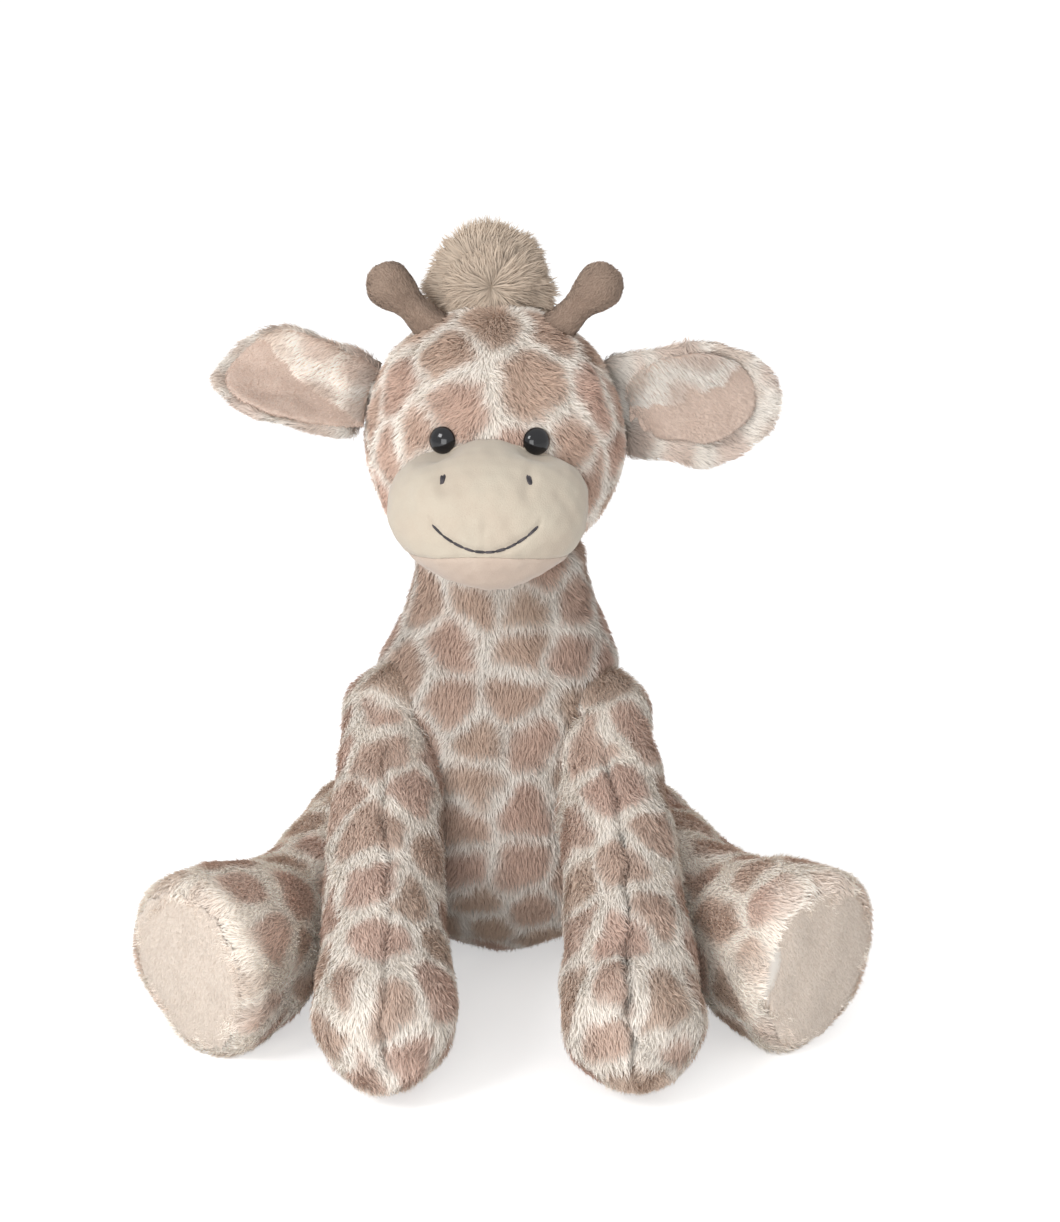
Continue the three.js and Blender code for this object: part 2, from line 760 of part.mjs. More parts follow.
function addHead() {
  const outer = softForm(head);
  const down = upward.clone().negate();
  const neckHole = rod(headCentre, down, neckOpening, headRadius + overrun, ballSides);
  const muzzleHole = insideOf(muzzleForm, velourWall);
  const pockets = [eyePocket(1), eyePocket(-1), earSocket(1), earSocket(-1)];
  const cover = cut(outer, insideOf(head, plushWall), neckHole, muzzleHole, ...pockets);
  const stuffed = insideOf(head, plushWall + clearance);
  const snout = insideOf(muzzleForm, velourWall + clearance);
  place(headGroup, 'head_cover', cover, plush);
  place(headGroup, 'head_filling', cut(stuffed.add(snout), ...pockets), stuffing);
  addMuzzle(headGroup);
  addMouth(headGroup);
  addTopknot(headGroup);
  for (const [side, { sign }] of Object.entries(seated)) {
    addEye(headGroup, side, sign);
    addNostril(headGroup, side, sign);
    addHorn(headGroup, side, sign);
  }
}

function earForm(sign, lift, twist) {
  const root = earRoot(sign);
  const out = new THREE.Vector3(sign * Math.cos(radians(lift)), 0, Math.sin(radians(lift)));
  const end = root.clone().addScaledVector(out, earLength);
  const tall = upward.clone().applyAxisAngle(out, -sign * radians(twist));
  return {
    curve: new THREE.LineCurve3(root, end),
    sides: earSides,
    across: tall,
    rings: earShares.map(({ along, height, thickness, cup }) => ({
      along: along * earLength,
      wide: (height * earHeight) / 2,
      deep: (thickness * earThickness) / 2,
      cup: sign * cup * earCup,
    })),
  };
}

function addEar(side, { sign, earLift, earTwist }) {
  const form = earForm(sign, earLift, earTwist);
  const root = earRoot(sign);
  const cheekRoom = clearance * (1 + jointSlackShare * 2);
  const cheek = cut(softForm(drawnIn(head, -cheekRoom)), earSocket(sign));
  const swings = [earSwing, -earSwing].flatMap((swing) => (
    throughSwing(cheek, root, upward, swing, earSteps)
  ));
  const leaf = softForm(form).add(barrel(root, earRootRadius, earRootHeight));
  const ear = cut(leaf, ...swings);
  const proud = frameOn(form.curve, 0, form.across).deep.multiplyScalar(sign * liningProud);
  const inner = {
    ...form,
    rings: form.rings.map((ring) => ({
      ...ring,
      along: earLength / 2 + (ring.along - earLength / 2) * liningScaleShare,
      wide: ring.wide * liningScaleShare,
      deep: ring.deep * liningScaleShare,
    })),
  };
  const grown = softForm(drawnIn(form, -clearance));
  const moved = asGeometry(softForm(inner)).translate(proud.x, proud.y, proud.z);
  const lining = cut(asSolid(moved), grown, softForm(drawnIn(head, -clearance)));
  place(headGroup, `ear_${side}`, ear, plush, root);
  place(headGroup, `ear_lining_${side}`, lining, velour, root);
}

function frontLegForm({ sign, frontFootAcross, bow }) {
  const start = shoulder(sign).centre;
  const half = (toFoot) => THREE.MathUtils.lerp(frontLegWidth, frontFootWidth, toFoot) / 2;
  const formAt = (footUp) => {
    const foot = new THREE.Vector3(sign * frontFootAcross, frontFootBack, footUp);
    const middle = start.clone().lerp(foot, 1 / 2);
    middle.x += sign * bow;
    const curve = new THREE.QuadraticBezierCurve3(start, middle, foot);
    const length = curve.getLength();
    const rings = [{ along: -shoulderRadius / 2, wide: 0, deep: 0 }];
    for (const { along, width, toFoot } of frontLegShares) {
      rings.push({ along: along * length, wide: width * half(toFoot), deep: width * half(toFoot) });
    }
    for (const { beyond, width } of toeShares) {
      rings.push({ along: length + beyond * frontToe, wide: width * half(1), deep: width * half(1) });
    }
    return { curve, rings, sides: frontLegSides, across: sideways };
  };
  return settle(formAt, frontFootWidth / 2);
}

function addFrontLeg(side, pose) {
  const joint = shoulder(pose.sign);
  const lift = { axis: sideways.clone().negate(), swing: frontLegSwing, steps: frontLegSteps };
  const { cover, filling } = limb(joint, frontLegForm(pose), lift);
  place(giraffe, `front_leg_${side}`, cover, plush, joint.centre);
  place(giraffe, `front_leg_filling_${side}`, filling, stuffing, joint.centre);
}

function hindLegForm({ sign, splay, toeOut, roll }) {
  const start = hip(sign).centre;
  const pointing = (angle) => {
    const [across, back] = [Math.sin(radians(angle)), -Math.cos(radians(angle))];
    return new THREE.Vector3(sign * across, back, 0);
  };
  const formAt = (footUp) => {
    const foot = start.clone().addScaledVector(pointing(splay), hindLegLength);
    foot.z = footUp;
    const knee = foot.clone().addScaledVector(pointing(splay + toeOut), -hindLegLength / 2);
    const curve = new THREE.QuadraticBezierCurve3(start, knee, foot);
    const along = foot.clone().sub(start).normalize();
    const level = new THREE.Vector3().crossVectors(upward, along).normalize();
    const across = level.applyAxisAngle(along, -sign * radians(roll));
    const length = curve.getLength();
    const rings = [{ along: -hipRadius / 2, wide: 0, deep: 0 }];
    for (const share of hindLegShares) {
      const slim = THREE.MathUtils.lerp(hindLegWidth, ankleWidth, share.toAnkle);
      rings.push({
        along: share.along * length,
        wide: (share.width * THREE.MathUtils.lerp(slim, hindFootWidth, share.toFoot)) / 2,
        deep: (share.width * THREE.MathUtils.lerp(slim, hindFootHeight, share.toFoot)) / 2,
        egg: share.egg * footEggShare,
      });
    }
    const heel = rings[rings.length - 1];
    const [wide, deep] = [heel.wide * soleRimShare, heel.deep * soleRimShare];
    rings.push({ ...heel, along: length + soleRim, wide, deep });
    rings.push({ along: length + soleRim + soleCrown, wide: 0, deep: 0 });
    return { curve, rings, sides: hindLegSides, across };
  };
  return settle(formAt, hindFootUp);
}

// The sole is the end of the foot, parted from the leg at its rim
function addHindLeg(side, pose) {
  const joint = hip(pose.sign);
  const form = hindLegForm(pose);
  const { cover, filling } = limb(joint, form, { neighbours: [frontLegForm(pose)] });
  const along = form.curve.getTangentAt(1);
  const turn = new THREE.Quaternion().setFromUnitVectors(upward, along);
  const beyond = (distance) => {
    const reach = hindFootHeight * 2;
    const middle = form.curve.getPointAt(1).addScaledVector(along, distance + reach / 2);
    return block(reach, reach, reach, middle, turn);
  };
  const sole = cover.intersect(beyond(soleRim + clearance));
  place(giraffe, `hind_leg_${side}`, cut(cover, beyond(soleRim)), plush, joint.centre);
  place(giraffe, `hind_leg_filling_${side}`, filling, stuffing, joint.centre);
  place(giraffe, `sole_${side}`, sole, velour, joint.centre);
}

function addTail() {
  const root = tailJoint.centre;
  const end = new THREE.Vector3(0, tailBack + tailReach, tailEndUp);
  const bend = new THREE.Vector3(0, tailBack + tailReach / 2, tailEndUp);
  const curve = new THREE.QuadraticBezierCurve3(root, bend, end);
  const length = curve.getLength();
  const ring = (along, half) => ({ along, wide: half, deep: half });
  const cordRings = cordShares.map(({ along, width }) => ring(along * length, (width * tailWidth) / 2));
  const tuftRings = tuftShares.map(({ beyond, width }) => (
    ring(length + beyond * tuftLength, (width * tuftWidth) / 2)
  ));
  const cord = { curve, sides: tailSides, across: sideways, rings: cordRings };
  const tuft = { curve, sides: tailSides, across: sideways, rings: tuftRings };
  const torsoGrown = cut(softForm(drawnIn(torsoForm, -clearance)), tailJoint.kept(0));
  const whole = tailJoint.solid(0).add(softForm(cord));
  const tuftSolid = cut(softForm(tuft), softForm(drawnIn(cord, -clearance)), below(0));
  place(giraffe, 'tail', cut(whole, torsoGrown, below(0)), plush, root);
  place(giraffe, 'tail_tuft', tuftSolid, longPile, root);
}

addTorso();
addHead();
for (const [side, pose] of Object.entries(seated)) {
  addEar(side, pose);
  addFrontLeg(side, pose);
  addHindLeg(side, pose);
}
addTail();

export default giraffe;
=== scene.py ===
"""A seated plush giraffe, sewn and stuffed: its cloth, pile, seams, stitches and eyes.

Sizes are in millimetres and degrees, in the part's own frame: it faces -Y, +Z is up and its left side
is +X. Every stuffed form is a row of rings on a path, as its pattern pieces make it when stuffed.
"""

from __future__ import annotations

import logging
import math
from dataclasses import dataclass, field
from enum import Enum
from typing import Callable, Optional, Sequence, Union

import bpy
import numpy as np
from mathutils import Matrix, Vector
from mathutils.bvhtree import BVHTree


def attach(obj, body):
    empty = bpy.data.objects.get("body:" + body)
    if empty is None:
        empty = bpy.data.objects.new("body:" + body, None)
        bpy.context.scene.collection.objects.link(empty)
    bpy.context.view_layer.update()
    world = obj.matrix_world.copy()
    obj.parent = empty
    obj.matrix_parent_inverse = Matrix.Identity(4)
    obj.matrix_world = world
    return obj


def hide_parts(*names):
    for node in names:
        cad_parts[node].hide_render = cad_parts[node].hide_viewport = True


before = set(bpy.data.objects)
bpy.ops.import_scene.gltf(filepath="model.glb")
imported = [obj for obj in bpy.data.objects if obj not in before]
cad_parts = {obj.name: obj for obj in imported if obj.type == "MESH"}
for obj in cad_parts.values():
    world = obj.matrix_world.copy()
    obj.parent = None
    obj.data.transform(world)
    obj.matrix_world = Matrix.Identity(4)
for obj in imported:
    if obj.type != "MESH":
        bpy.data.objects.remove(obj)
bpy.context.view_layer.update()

log = logging.getLogger("giraffe")

MM = 0.001
PATH_STEPS = 400
X_AXIS = np.array((1.0, 0.0, 0.0))
Y_AXIS = np.array((0.0, 1.0, 0.0))
Z_AXIS = np.array((0.0, 0.0, 1.0))

# The plush's thickness, from the stuffed cloth to the tips of its pile
PLUSH_DEPTH = 2.4
SEAM_GAP = 0.5
HEAD_CENTRE = np.array((0.0, -2.0, 208.0))
HEAD_RADIUS = 50.0
HEAD_SOCKET = HEAD_RADIUS - PLUSH_DEPTH + SEAM_GAP
HEAD_TURN = -2.0
SIDES = (("left", 1), ("right", -1))
# What cloth has in place of a strand's own shade and the way along it
MIDDLING = {"shade": 0.5, "reach": 0.5}
CLOTH_SPECULAR = 0.15
# Where less pile than this share is left, none is planted
LEAST_PILE = 0.12
# How low a strand may hang, and how far it keeps from its square's edge in the strands' layout
FLOOR_GAP = 0.25
CELL_MARGIN = 0.1
# Where the first patches of the print lie on the brow and the chest, across and up
BROW_MARKS = (
    (-15.0, 248.0), (0.0, 254.0), (20.0, 251.0), (-34.0, 233.0), (-13.0, 231.0),
    (13.0, 237.0), (37.0, 228.0), (-39.0, 212.0), (27.0, 216.0), (44.0, 206.0),
    (-27.0, 252.0), (35.0, 242.0),
)
CHEST_MARKS = (
    (-15.0, 134.0), (-6.0, 152.0), (10.0, 150.0), (10.0, 133.0), (9.0, 118.0),
    (-16.0, 115.0), (-8.0, 100.0), (14.0, 98.0), (-8.0, 87.0), (10.0, 77.0),
    (-15.0, 68.0), (10.0, 51.0), (-14.0, 53.0), (-8.0, 37.0), (15.0, 34.0),
    (-3.0, 23.0), (31.0, 147.0), (31.0, 128.0), (31.0, 112.0), (-26.0, 150.0),
)

Array = np.ndarray
Item = bpy.types.Object
Socket = bpy.types.NodeSocket
Value = Union[Socket, float, int, Sequence[float]]
Field = Callable[[Array], Array]
Table = Sequence[tuple[float, ...]]
Triple = tuple[float, float, float]


# Small geometry


def unit(vectors: Array) -> Array:
    """Vectors scaled to a length of 1."""
    return vectors / np.maximum(np.linalg.norm(vectors, axis=-1, keepdims=True), 1e-9)


def smooth_step(values: Array, low: Union[float, Array], high: Union[float, Array]) -> Array:
    """A soft rise from 0 at low to 1 at high."""
    share = np.clip((values - low) / (np.asarray(high) - low), 0, 1)
    return share * share * (3 - 2 * share)


def band(values: Array, *edges: float) -> Array:
    """A soft rise between the first two edges and a soft fall between the last two."""
    return smooth_step(values, *edges[:2]) * (1 - smooth_step(values, *edges[2:]))


def hump(away: Array, width: float) -> Array:
    """A rounded hump, 1 where away is 0 and gone a few widths from there."""
    return np.exp(-((away / width) ** 2))


def along_cloth(vectors: Array, normals: Array) -> Array:
    """What is left of vectors once their part along the normals is taken out."""
    return vectors - normals * (vectors * normals).sum(axis=1)[:, None]


def turn_matrix(axis: Array, degrees: float) -> Array:
    """The rotation about an axis through the origin.

    Args:
        axis: A unit vector.
        degrees: How far it turns, right-handed.

    Returns:
        A 3 by 3 matrix.
    """
    angle = math.radians(degrees)
    cross = np.cross(np.eye(3), axis)
    return np.eye(3) + math.sin(angle) * cross + (1 - math.cos(angle)) * cross @ cross


def ripple(points: Array, size: float, seed: int) -> Array:
    """A soft, uneven field from crossed waves, the same on every run.

    Args:
        points: Places in millimetres.
        size: The length of its bumps.
        seed: Picks the waves.

    Returns:
        Values about from -1 to 1.
    """
    rng = np.random.default_rng(seed)
    waves = 9
    ways = unit(rng.normal(size=(waves, 3))) * rng.uniform(0.7, 1.3, (waves, 1)) * 2 * math.pi / size
    starts = rng.uniform(0, 2 * math.pi, waves)
    return np.sin(points @ ways.T + starts).sum(axis=1) / math.sqrt(waves)


def ripples(points: Array, size: float, seed: int) -> Array:
    """Three ripples side by side, one for each axis."""
    return np.stack([ripple(points, size, seed + axis) for axis in range(3)], axis=1)


def linear(code: str) -> tuple[float, ...]:
    """A colour written as #RRGGBB, as the shader's linear numbers."""
    parts = [int(code[i : i + 2], 16) / 255 for i in (1, 3, 5)]
    return (*(c / 12.92 if c <= 0.04045 else ((c + 0.055) / 1.055) ** 2.4 for c in parts), 1.0)


# Paths, rings and soft forms


@dataclass(frozen=True)
class Path:
    """A line, or one even bend, that a form's rings are strung on and measured along."""

    start: Array
    end: Array
    bend: Optional[Array] = None

    def at(self, share: Array) -> Array:
        """Points at shares of the path's own parameter."""
        bend = (self.start + self.end) / 2 if self.bend is None else self.bend
        t = np.asarray(share, float)[..., None]
        return (1 - t) ** 2 * self.start + 2 * t * (1 - t) * bend + t**2 * self.end

    def slope(self, share: Array) -> Array:
        """Unit tangents at shares of the path's own parameter."""
        bend = (self.start + self.end) / 2 if self.bend is None else self.bend
        t = np.asarray(share, float)[..., None]
        return unit((1 - t) * (bend - self.start) + t * (self.end - bend))

    def run(self) -> tuple[Array, Array]:
        """Even shares and the length covered at each."""
        share = np.linspace(0, 1, PATH_STEPS)
        steps = np.linalg.norm(np.diff(self.at(share), axis=0), axis=1)
        return share, np.concatenate(([0.0], np.cumsum(steps)))

    @property
    def length(self) -> float:
        """The whole length."""
        return float(self.run()[1][-1])

    def frames(self, along: Array, across: Array) -> tuple[Array, ...]:
        """Where rings stand, past the ends too.

        Args:
            along: Distances from the start.
            across: The way that a ring's width runs.

        Returns:
            Centres, width directions, depth directions and tangents.
        """
        share, run = self.run()
        held = np.clip(along, 0, run[-1])
        place = np.interp(held, run, share)
        tangent = self.slope(place)
        centre = self.at(place) + tangent * (along - held)[:, None]
        side = unit(across - tangent * (tangent @ across)[:, None])
        return centre, side, np.cross(tangent, side), tangent


RING_FIELDS = ("along", "wide", "deep", "shift", "egg", "cup")


def ring(along: float, wide: float, deep: Optional[float] = None, **more: float) -> list[float]:
    """One ring's numbers: its place, half width, half depth, shift, egg share and cup."""
    given = {"along": along, "wide": wide, "deep": wide if deep is None else deep, **more}
    return [given.get(name, 0.0) for name in RING_FIELDS]


@dataclass(frozen=True)
class SoftForm:
    """A stuffed form: smooth rows through its rings, closed round at both ends."""

    path: Path
    across: Array
    rings: Sequence[Sequence[float]]
    columns: int = 64
    step: float = 2.0
    inset: float = 0.0

    def drawn_in(self, depth: float) -> "SoftForm":
        """The same form with its surface drawn in, or let out where depth is negative."""
        return SoftForm(self.path, self.across, self.rings, self.columns, self.step, self.inset + depth)

    def rows(self) -> Array:
        """Rings close together, eased through the given ones and drawn in by the inset."""
        rings = np.array(self.rings, float)
        first, last = rings[1].copy(), rings[-2].copy()
        first[1:3] *= -1
        last[1:3] *= -1
        points = np.vstack((first, rings, last))
        gaps = np.diff(points, axis=0)
        chord = np.hypot(gaps[:, 0], gaps[:, 1:3].mean(axis=1))
        slope = gaps / chord[:, None]
        before, after = chord[:-1, None], chord[1:, None]
        tangent = (slope[:-1] * after + slope[1:] * before) / (before + after)
        rows = []
        for place in range(len(rings) - 1):
            count = max(1, math.ceil(chord[place + 1] / self.step))
            t = (np.arange(count) / count)[:, None]
            size = chord[place + 1]
            rows.append(
                (2 * t**3 - 3 * t**2 + 1) * rings[place]
                + (t**3 - 2 * t**2 + t) * size * tangent[place]
                + (3 * t**2 - 2 * t**3) * rings[place + 1]
                + (t**3 - t**2) * size * tangent[place + 1]
            )
        rows.append(rings[-1:])
        made = np.vstack(rows)
        if not self.inset:
            return made
        radius = made[:, 1:3].mean(axis=1)
        run = made[2:, 0] - made[:-2, 0]
        rise = radius[2:] - radius[:-2]
        slope = np.hypot(run, rise)
        made[1:-1, 0] += self.inset * rise / slope
        made[1:-1, 1:3] = np.maximum(made[1:-1, 1:3] - (self.inset * run / slope)[:, None], 0.05)
        made[0, 0] += self.inset
        made[-1, 0] -= self.inset
        return made

    def build(self, name: str) -> Item:
        """Makes the form as a closed mesh.

        Args:
            name: The object's name.

        Returns:
            The new object.
        """
        rows = self.rows()
        centre, side, deep, _ = self.path.frames(rows[:, 0], self.across)
        centre = centre + deep * rows[:, 3:4]
        angle = 2 * math.pi * np.arange(self.columns) / self.columns
        c, s = np.cos(angle), np.sin(angle)
        wide = rows[:, 1:2] * c * (1 + rows[:, 4:5] * s)
        depth = rows[:, 2:3] * s + rows[:, 5:6] * c**2
        grid = centre[:, None] + side[:, None] * wide[..., None] + deep[:, None] * depth[..., None]
        points = np.vstack((centre[:1], grid[1:-1].reshape(-1, 3), centre[-1:]))
        starts = 1 + np.arange(len(rows) - 2) * self.columns
        here = np.arange(self.columns)
        there = (here + 1) % self.columns
        faces: list[Sequence[int]] = [(0, starts[0] + n, starts[0] + h) for h, n in zip(here, there)]
        for low, high in zip(starts[:-1], starts[1:]):
            faces += zip(low + here, low + there, high + there, high + here)
        faces += [(len(points) - 1, starts[-1] + h, starts[-1] + n) for h, n in zip(here, there)]
        return new_object(name, points, [tuple(int(i) for i in face) for face in faces])


def new_object(name: str, points: Array, faces: Sequence[Sequence[int]]) -> Item:
    """A mesh object at the origin from points in millimetres."""
    mesh = bpy.data.meshes.new(name)
    mesh.from_pydata((np.asarray(points) * MM).tolist(), [], faces)
    mesh.update()
    made = bpy.data.objects.new(name, mesh)
    bpy.context.scene.collection.objects.link(made)
    return made


def ball(centre: Array, radii: Union[float, Sequence[float]], columns: int = 48) -> Item:
    """A closed ball or ellipsoid, to join or to cut with."""
    across, deep, tall = np.broadcast_to(radii, 3)
    steps = columns // 2
    rings = []
    for step in range(steps + 1):
        angle = math.pi * (step / steps - 0.5)
        size = 0.0 if step in (0, steps) else math.cos(angle)
        rings.append(ring(tall * (1 + math.sin(angle)), across * size, deep * size))
    foot, top = centre - Z_AXIS * tall, centre + Z_AXIS * tall
    return SoftForm(Path(foot, top), X_AXIS, rings, columns, step=1e3).build("ball")


def slab(point: Array, way: Array, reach: float = 400.0) -> Item:
    """A big block on the far side of a plane, to cut a form flat."""
    side = unit(np.cross(way, X_AXIS if abs(way[0]) < 0.8 else Y_AXIS))
    up = np.cross(way, side)
    corners = []
    for far in (0, reach):
        for a, b in ((-1, -1), (1, -1), (1, 1), (-1, 1)):
            corners.append(point + way * far + side * a * reach + up * b * reach)
    faces = [(3, 2, 1, 0), (4, 5, 6, 7), (0, 1, 5, 4), (1, 2, 6, 5), (2, 3, 7, 6), (3, 0, 4, 7)]
    return new_object("slab", np.array(corners), faces)


# Mesh work


class Joinery(Enum):
    """How two closed meshes are put together."""

    CUT = "DIFFERENCE"
    JOIN = "UNION"


def discard(*objects: Item) -> None:
    """Removes helper objects and their meshes."""
    for item in objects:
        mesh = item.data
        bpy.data.objects.remove(item)
        if mesh.users == 0:
            bpy.data.meshes.remove(mesh)


def settle(item: Item) -> Item:
    """Turns an object and its modifiers into a plain mesh."""
    depsgraph = bpy.context.evaluated_depsgraph_get()
    mesh = bpy.data.meshes.new_from_object(item.evaluated_get(depsgraph), depsgraph=depsgraph)
    old = item.data
    item.modifiers.clear()
    item.data = mesh
    mesh.name = item.name
    bpy.data.meshes.remove(old)
    return item


def combine(item: Item, tools: Sequence[Item], how: Joinery) -> Item:
    """Joins or cuts a closed mesh with others.

    Args:
        item: The mesh that is changed.
        tools: The other meshes, which are used up.
        how: Cut or join.

    Returns:
        The changed object.
    """
    for tool in tools:
        modifier = item.modifiers.new("joinery", "BOOLEAN")
        modifier.operation = how.value
        modifier.solver = "MANIFOLD"
        modifier.object = tool
    settle(item)
    discard(*tools)
    return item


def cut(item: Item, *tools: Item) -> Item:
    """Cuts a closed mesh with others, which are used up."""
    return combine(item, tools, Joinery.CUT)


def copy_of(item: Item) -> Item:
    """A separate object with a copy of the mesh, and nothing else of the first."""
    made = bpy.data.objects.new(item.name, item.data.copy())
    bpy.context.scene.collection.objects.link(made)
    return made


def turned(item: Item, centre: Array, axis: Array, degrees: float) -> Item:
    """Turns a mesh about an axis through a point, in its own vertices."""
    points = points_of(item) - centre
    set_points(item, points @ turn_matrix(axis, degrees).T + centre)
    return item


def round_off(item: Item, voxel: float, passes: int) -> Item:
    """Remeshes a form evenly and softens its creases, as stuffing does.

    Args:
        item: The closed mesh.
        voxel: The new faces' size.
        passes: How often it is smoothed.

    Returns:
        The changed object.
    """
    remesh = item.modifiers.new("weave", "REMESH")
    remesh.mode = "VOXEL"
    remesh.voxel_size = voxel * MM
    soften = item.modifiers.new("soften", "SMOOTH")
    soften.factor = 0.5
    soften.iterations = passes
    settle(item)
    shade_smooth(item)
    return item


def shade_smooth(item: Item) -> None:
    """Smooth shading on every face."""
    item.data.polygons.foreach_set("use_smooth", [True] * len(item.data.polygons))
    item.data.update()


def points_of(item: Item) -> Array:
    """A mesh's vertices in millimetres."""
    flat = np.empty(len(item.data.vertices) * 3, np.float32)
    item.data.vertices.foreach_get("co", flat)
    return flat.reshape(-1, 3).astype(float) / MM


def set_points(item: Item, points: Array) -> None:
    """Moves a mesh's vertices to places in millimetres."""
    item.data.vertices.foreach_set("co", (points * MM).astype(np.float32).ravel())
    item.data.update()


def normals_of(item: Item) -> Array:
    """A mesh's vertex normals."""
    flat = np.empty(len(item.data.vertices) * 3, np.float32)
    item.data.vertex_normals.foreach_get("vector", flat)
    return flat.reshape(-1, 3).astype(float)


def rest_on_floor(item: Item, least: float = 0.2) -> Item:
    """Flattens what would sink below the floor."""
    points = points_of(item)
    points[:, 2] = np.maximum(points[:, 2], least)
    set_points(item, points)
    return item


def push(item: Item, height: Field) -> Item:
    """Moves each point of a mesh along its normal, as far as height says for an array of points."""
    points = points_of(item)
    set_points(item, points + normals_of(item) * height(points)[:, None])
    return item


def store(item: Item, name: str, values: Array) -> None:
    """Keeps a number or a vector for every point of a mesh."""
    kind, slot_name = ("FLOAT_VECTOR", "vector") if values.ndim == 2 else ("FLOAT", "value")
    attribute = item.data.attributes.get(name) or item.data.attributes.new(name, kind, "POINT")
    attribute.data.foreach_set(slot_name, values.astype(np.float32).ravel())


def store_evenly(item: Item, **levels: float) -> None:
    """Keeps one number, the same all over a mesh, under each name given."""
    for name, level in levels.items():
        store(item, name, np.full(len(item.data.vertices), level))


def surface_tree(item: Item) -> BVHTree:
    """A search tree of a mesh in millimetres, for distances to it."""
    faces = [tuple(face.vertices) for face in item.data.polygons]
    return BVHTree.FromPolygons(points_of(item).tolist(), faces)


def is_inside(tree: BVHTree, point: Sequence[float]) -> bool:
    """Whether a point lies inside a closed mesh: a ray from it leaves an odd number of times."""
    way = Vector((0.13, 0.09, 0.987))
    start, crossings = Vector(point), 0
    while True:
        found = tree.ray_cast(start, way)[0]
        if found is None:
            return crossings % 2 == 1
        crossings += 1
        start = found + way * 1e-3


def distance_to(tree: BVHTree, points: Array) -> Array:
    """How far points lie from a closed mesh, negative inside it."""
    out = np.empty(len(points))
    for place, point in enumerate(points.tolist()):
        found, normal, _, distance = tree.find_nearest(point)
        behind = sum((point[k] - found[k]) * normal[k] for k in range(3)) < 0
        out[place] = -distance if behind and is_inside(tree, point) else distance
    return out


# Node trees


class Nodes:
    """Adds nodes to a tree and wires them, one call for each."""

    def __init__(self, tree: bpy.types.NodeTree) -> None:
        """Starts on a tree, which may hold nodes already."""
        self.tree = tree

    def feed(self, socket: Socket, value: Value) -> None:
        """Links a socket to another, or sets its value."""
        if isinstance(value, bpy.types.NodeSocket):
            self.tree.links.new(value, socket)
        else:
            socket.default_value = value

    def add(self, kind: str, inputs: Optional[dict] = None, **settings: object) -> bpy.types.Node:
        """Adds one node.

        Args:
            kind: The node's type.
            inputs: Values or sockets by input name or number.
            settings: The node's own properties.

        Returns:
            The new node.
        """
        node = self.tree.nodes.new(kind)
        for name, value in settings.items():
            setattr(node, name, value)
        for name, value in (inputs or {}).items():
            self.feed(node.inputs[name], value)
        return node

    def math(self, operation: str, *values: Value, clamp: bool = False) -> Socket:
        """A sum or function of numbers."""
        inputs = dict(enumerate(values))
        return self.add("ShaderNodeMath", inputs, operation=operation, use_clamp=clamp).outputs[0]

    def vector(self, operation: str, *values: Value) -> Socket:
        """A sum or function of vectors, whose output is a vector."""
        return self.add("ShaderNodeVectorMath", dict(enumerate(values)), operation=operation).outputs[0]

    def dot(self, first: Value, second: Value) -> Socket:
        """The dot product of two vectors."""
        node = self.add("ShaderNodeVectorMath", {0: first, 1: second}, operation="DOT_PRODUCT")
        return node.outputs["Value"]

    def scaled(self, vector: Value, amount: Value) -> Socket:
        """A vector times a number."""
        node = self.add("ShaderNodeVectorMath", {0: vector, "Scale": amount}, operation="SCALE")
        return node.outputs[0]

    def mixed(self, share: Value, first: Value, second: Value) -> Socket:
        """A colour between two others."""
        inputs = {0: share, 6: first, 7: second}
        return self.add("ShaderNodeMix", inputs, data_type="RGBA").outputs[2]

    def place(self) -> Socket:
        """The piece's own coordinates."""
        return self.add("ShaderNodeTexCoord").outputs["Object"]

    def cloud(self, place: Value, size: float, detail: float) -> Socket:
        """Cloudy noise whose clouds have a size in millimetres."""
        inputs = {"Vector": place, "Scale": 1 / (size * MM), "Detail": detail}
        return self.add("ShaderNodeTexNoise", inputs).outputs[0]

    def bump(self, shader: bpy.types.Node, height: Socket, depth: float, strength: float) -> None:
        """Gives a shader bumps that are a depth in millimetres high."""
        inputs = {"Height": height, "Distance": depth * MM, "Strength": strength}
        self.feed(shader.inputs["Normal"], self.add("ShaderNodeBump", inputs).outputs[0])

    def read(self, name: str) -> Socket:
        """A number stored on the mesh, for a shader."""
        return self.add("ShaderNodeAttribute", attribute_name=name).outputs["Fac"]

    def stored(self, name: str, kind: str = "FLOAT_VECTOR") -> Socket:
        """A value stored on the mesh, for a geometry tree."""
        node = self.add("GeometryNodeInputNamedAttribute", {"Name": name}, data_type=kind)
        return node.outputs["Attribute"]

    def aimed(self, first_axis: str, first: Value, second_axis: str, second: Value) -> Socket:
        """A rotation that aims one axis exactly, and a second as near as that allows."""
        kind = "FunctionNodeAlignRotationToVector"
        aim = self.add(kind, {"Vector": first}, axis=first_axis)
        inputs = {"Rotation": aim.outputs[0], "Vector": second}
        return self.add(kind, inputs, axis=second_axis, pivot_axis=first_axis).outputs[0]

    def looked_at(self) -> Socket:
        """1 for rays from the camera, a gloss or a clear piece, and 0 for the light's own."""
        rays = self.add("ShaderNodeLightPath").outputs
        looks = self.math("MAXIMUM", rays["Is Camera Ray"], rays["Is Glossy Ray"])
        return self.math("MAXIMUM", looks, rays["Is Transmission Ray"])


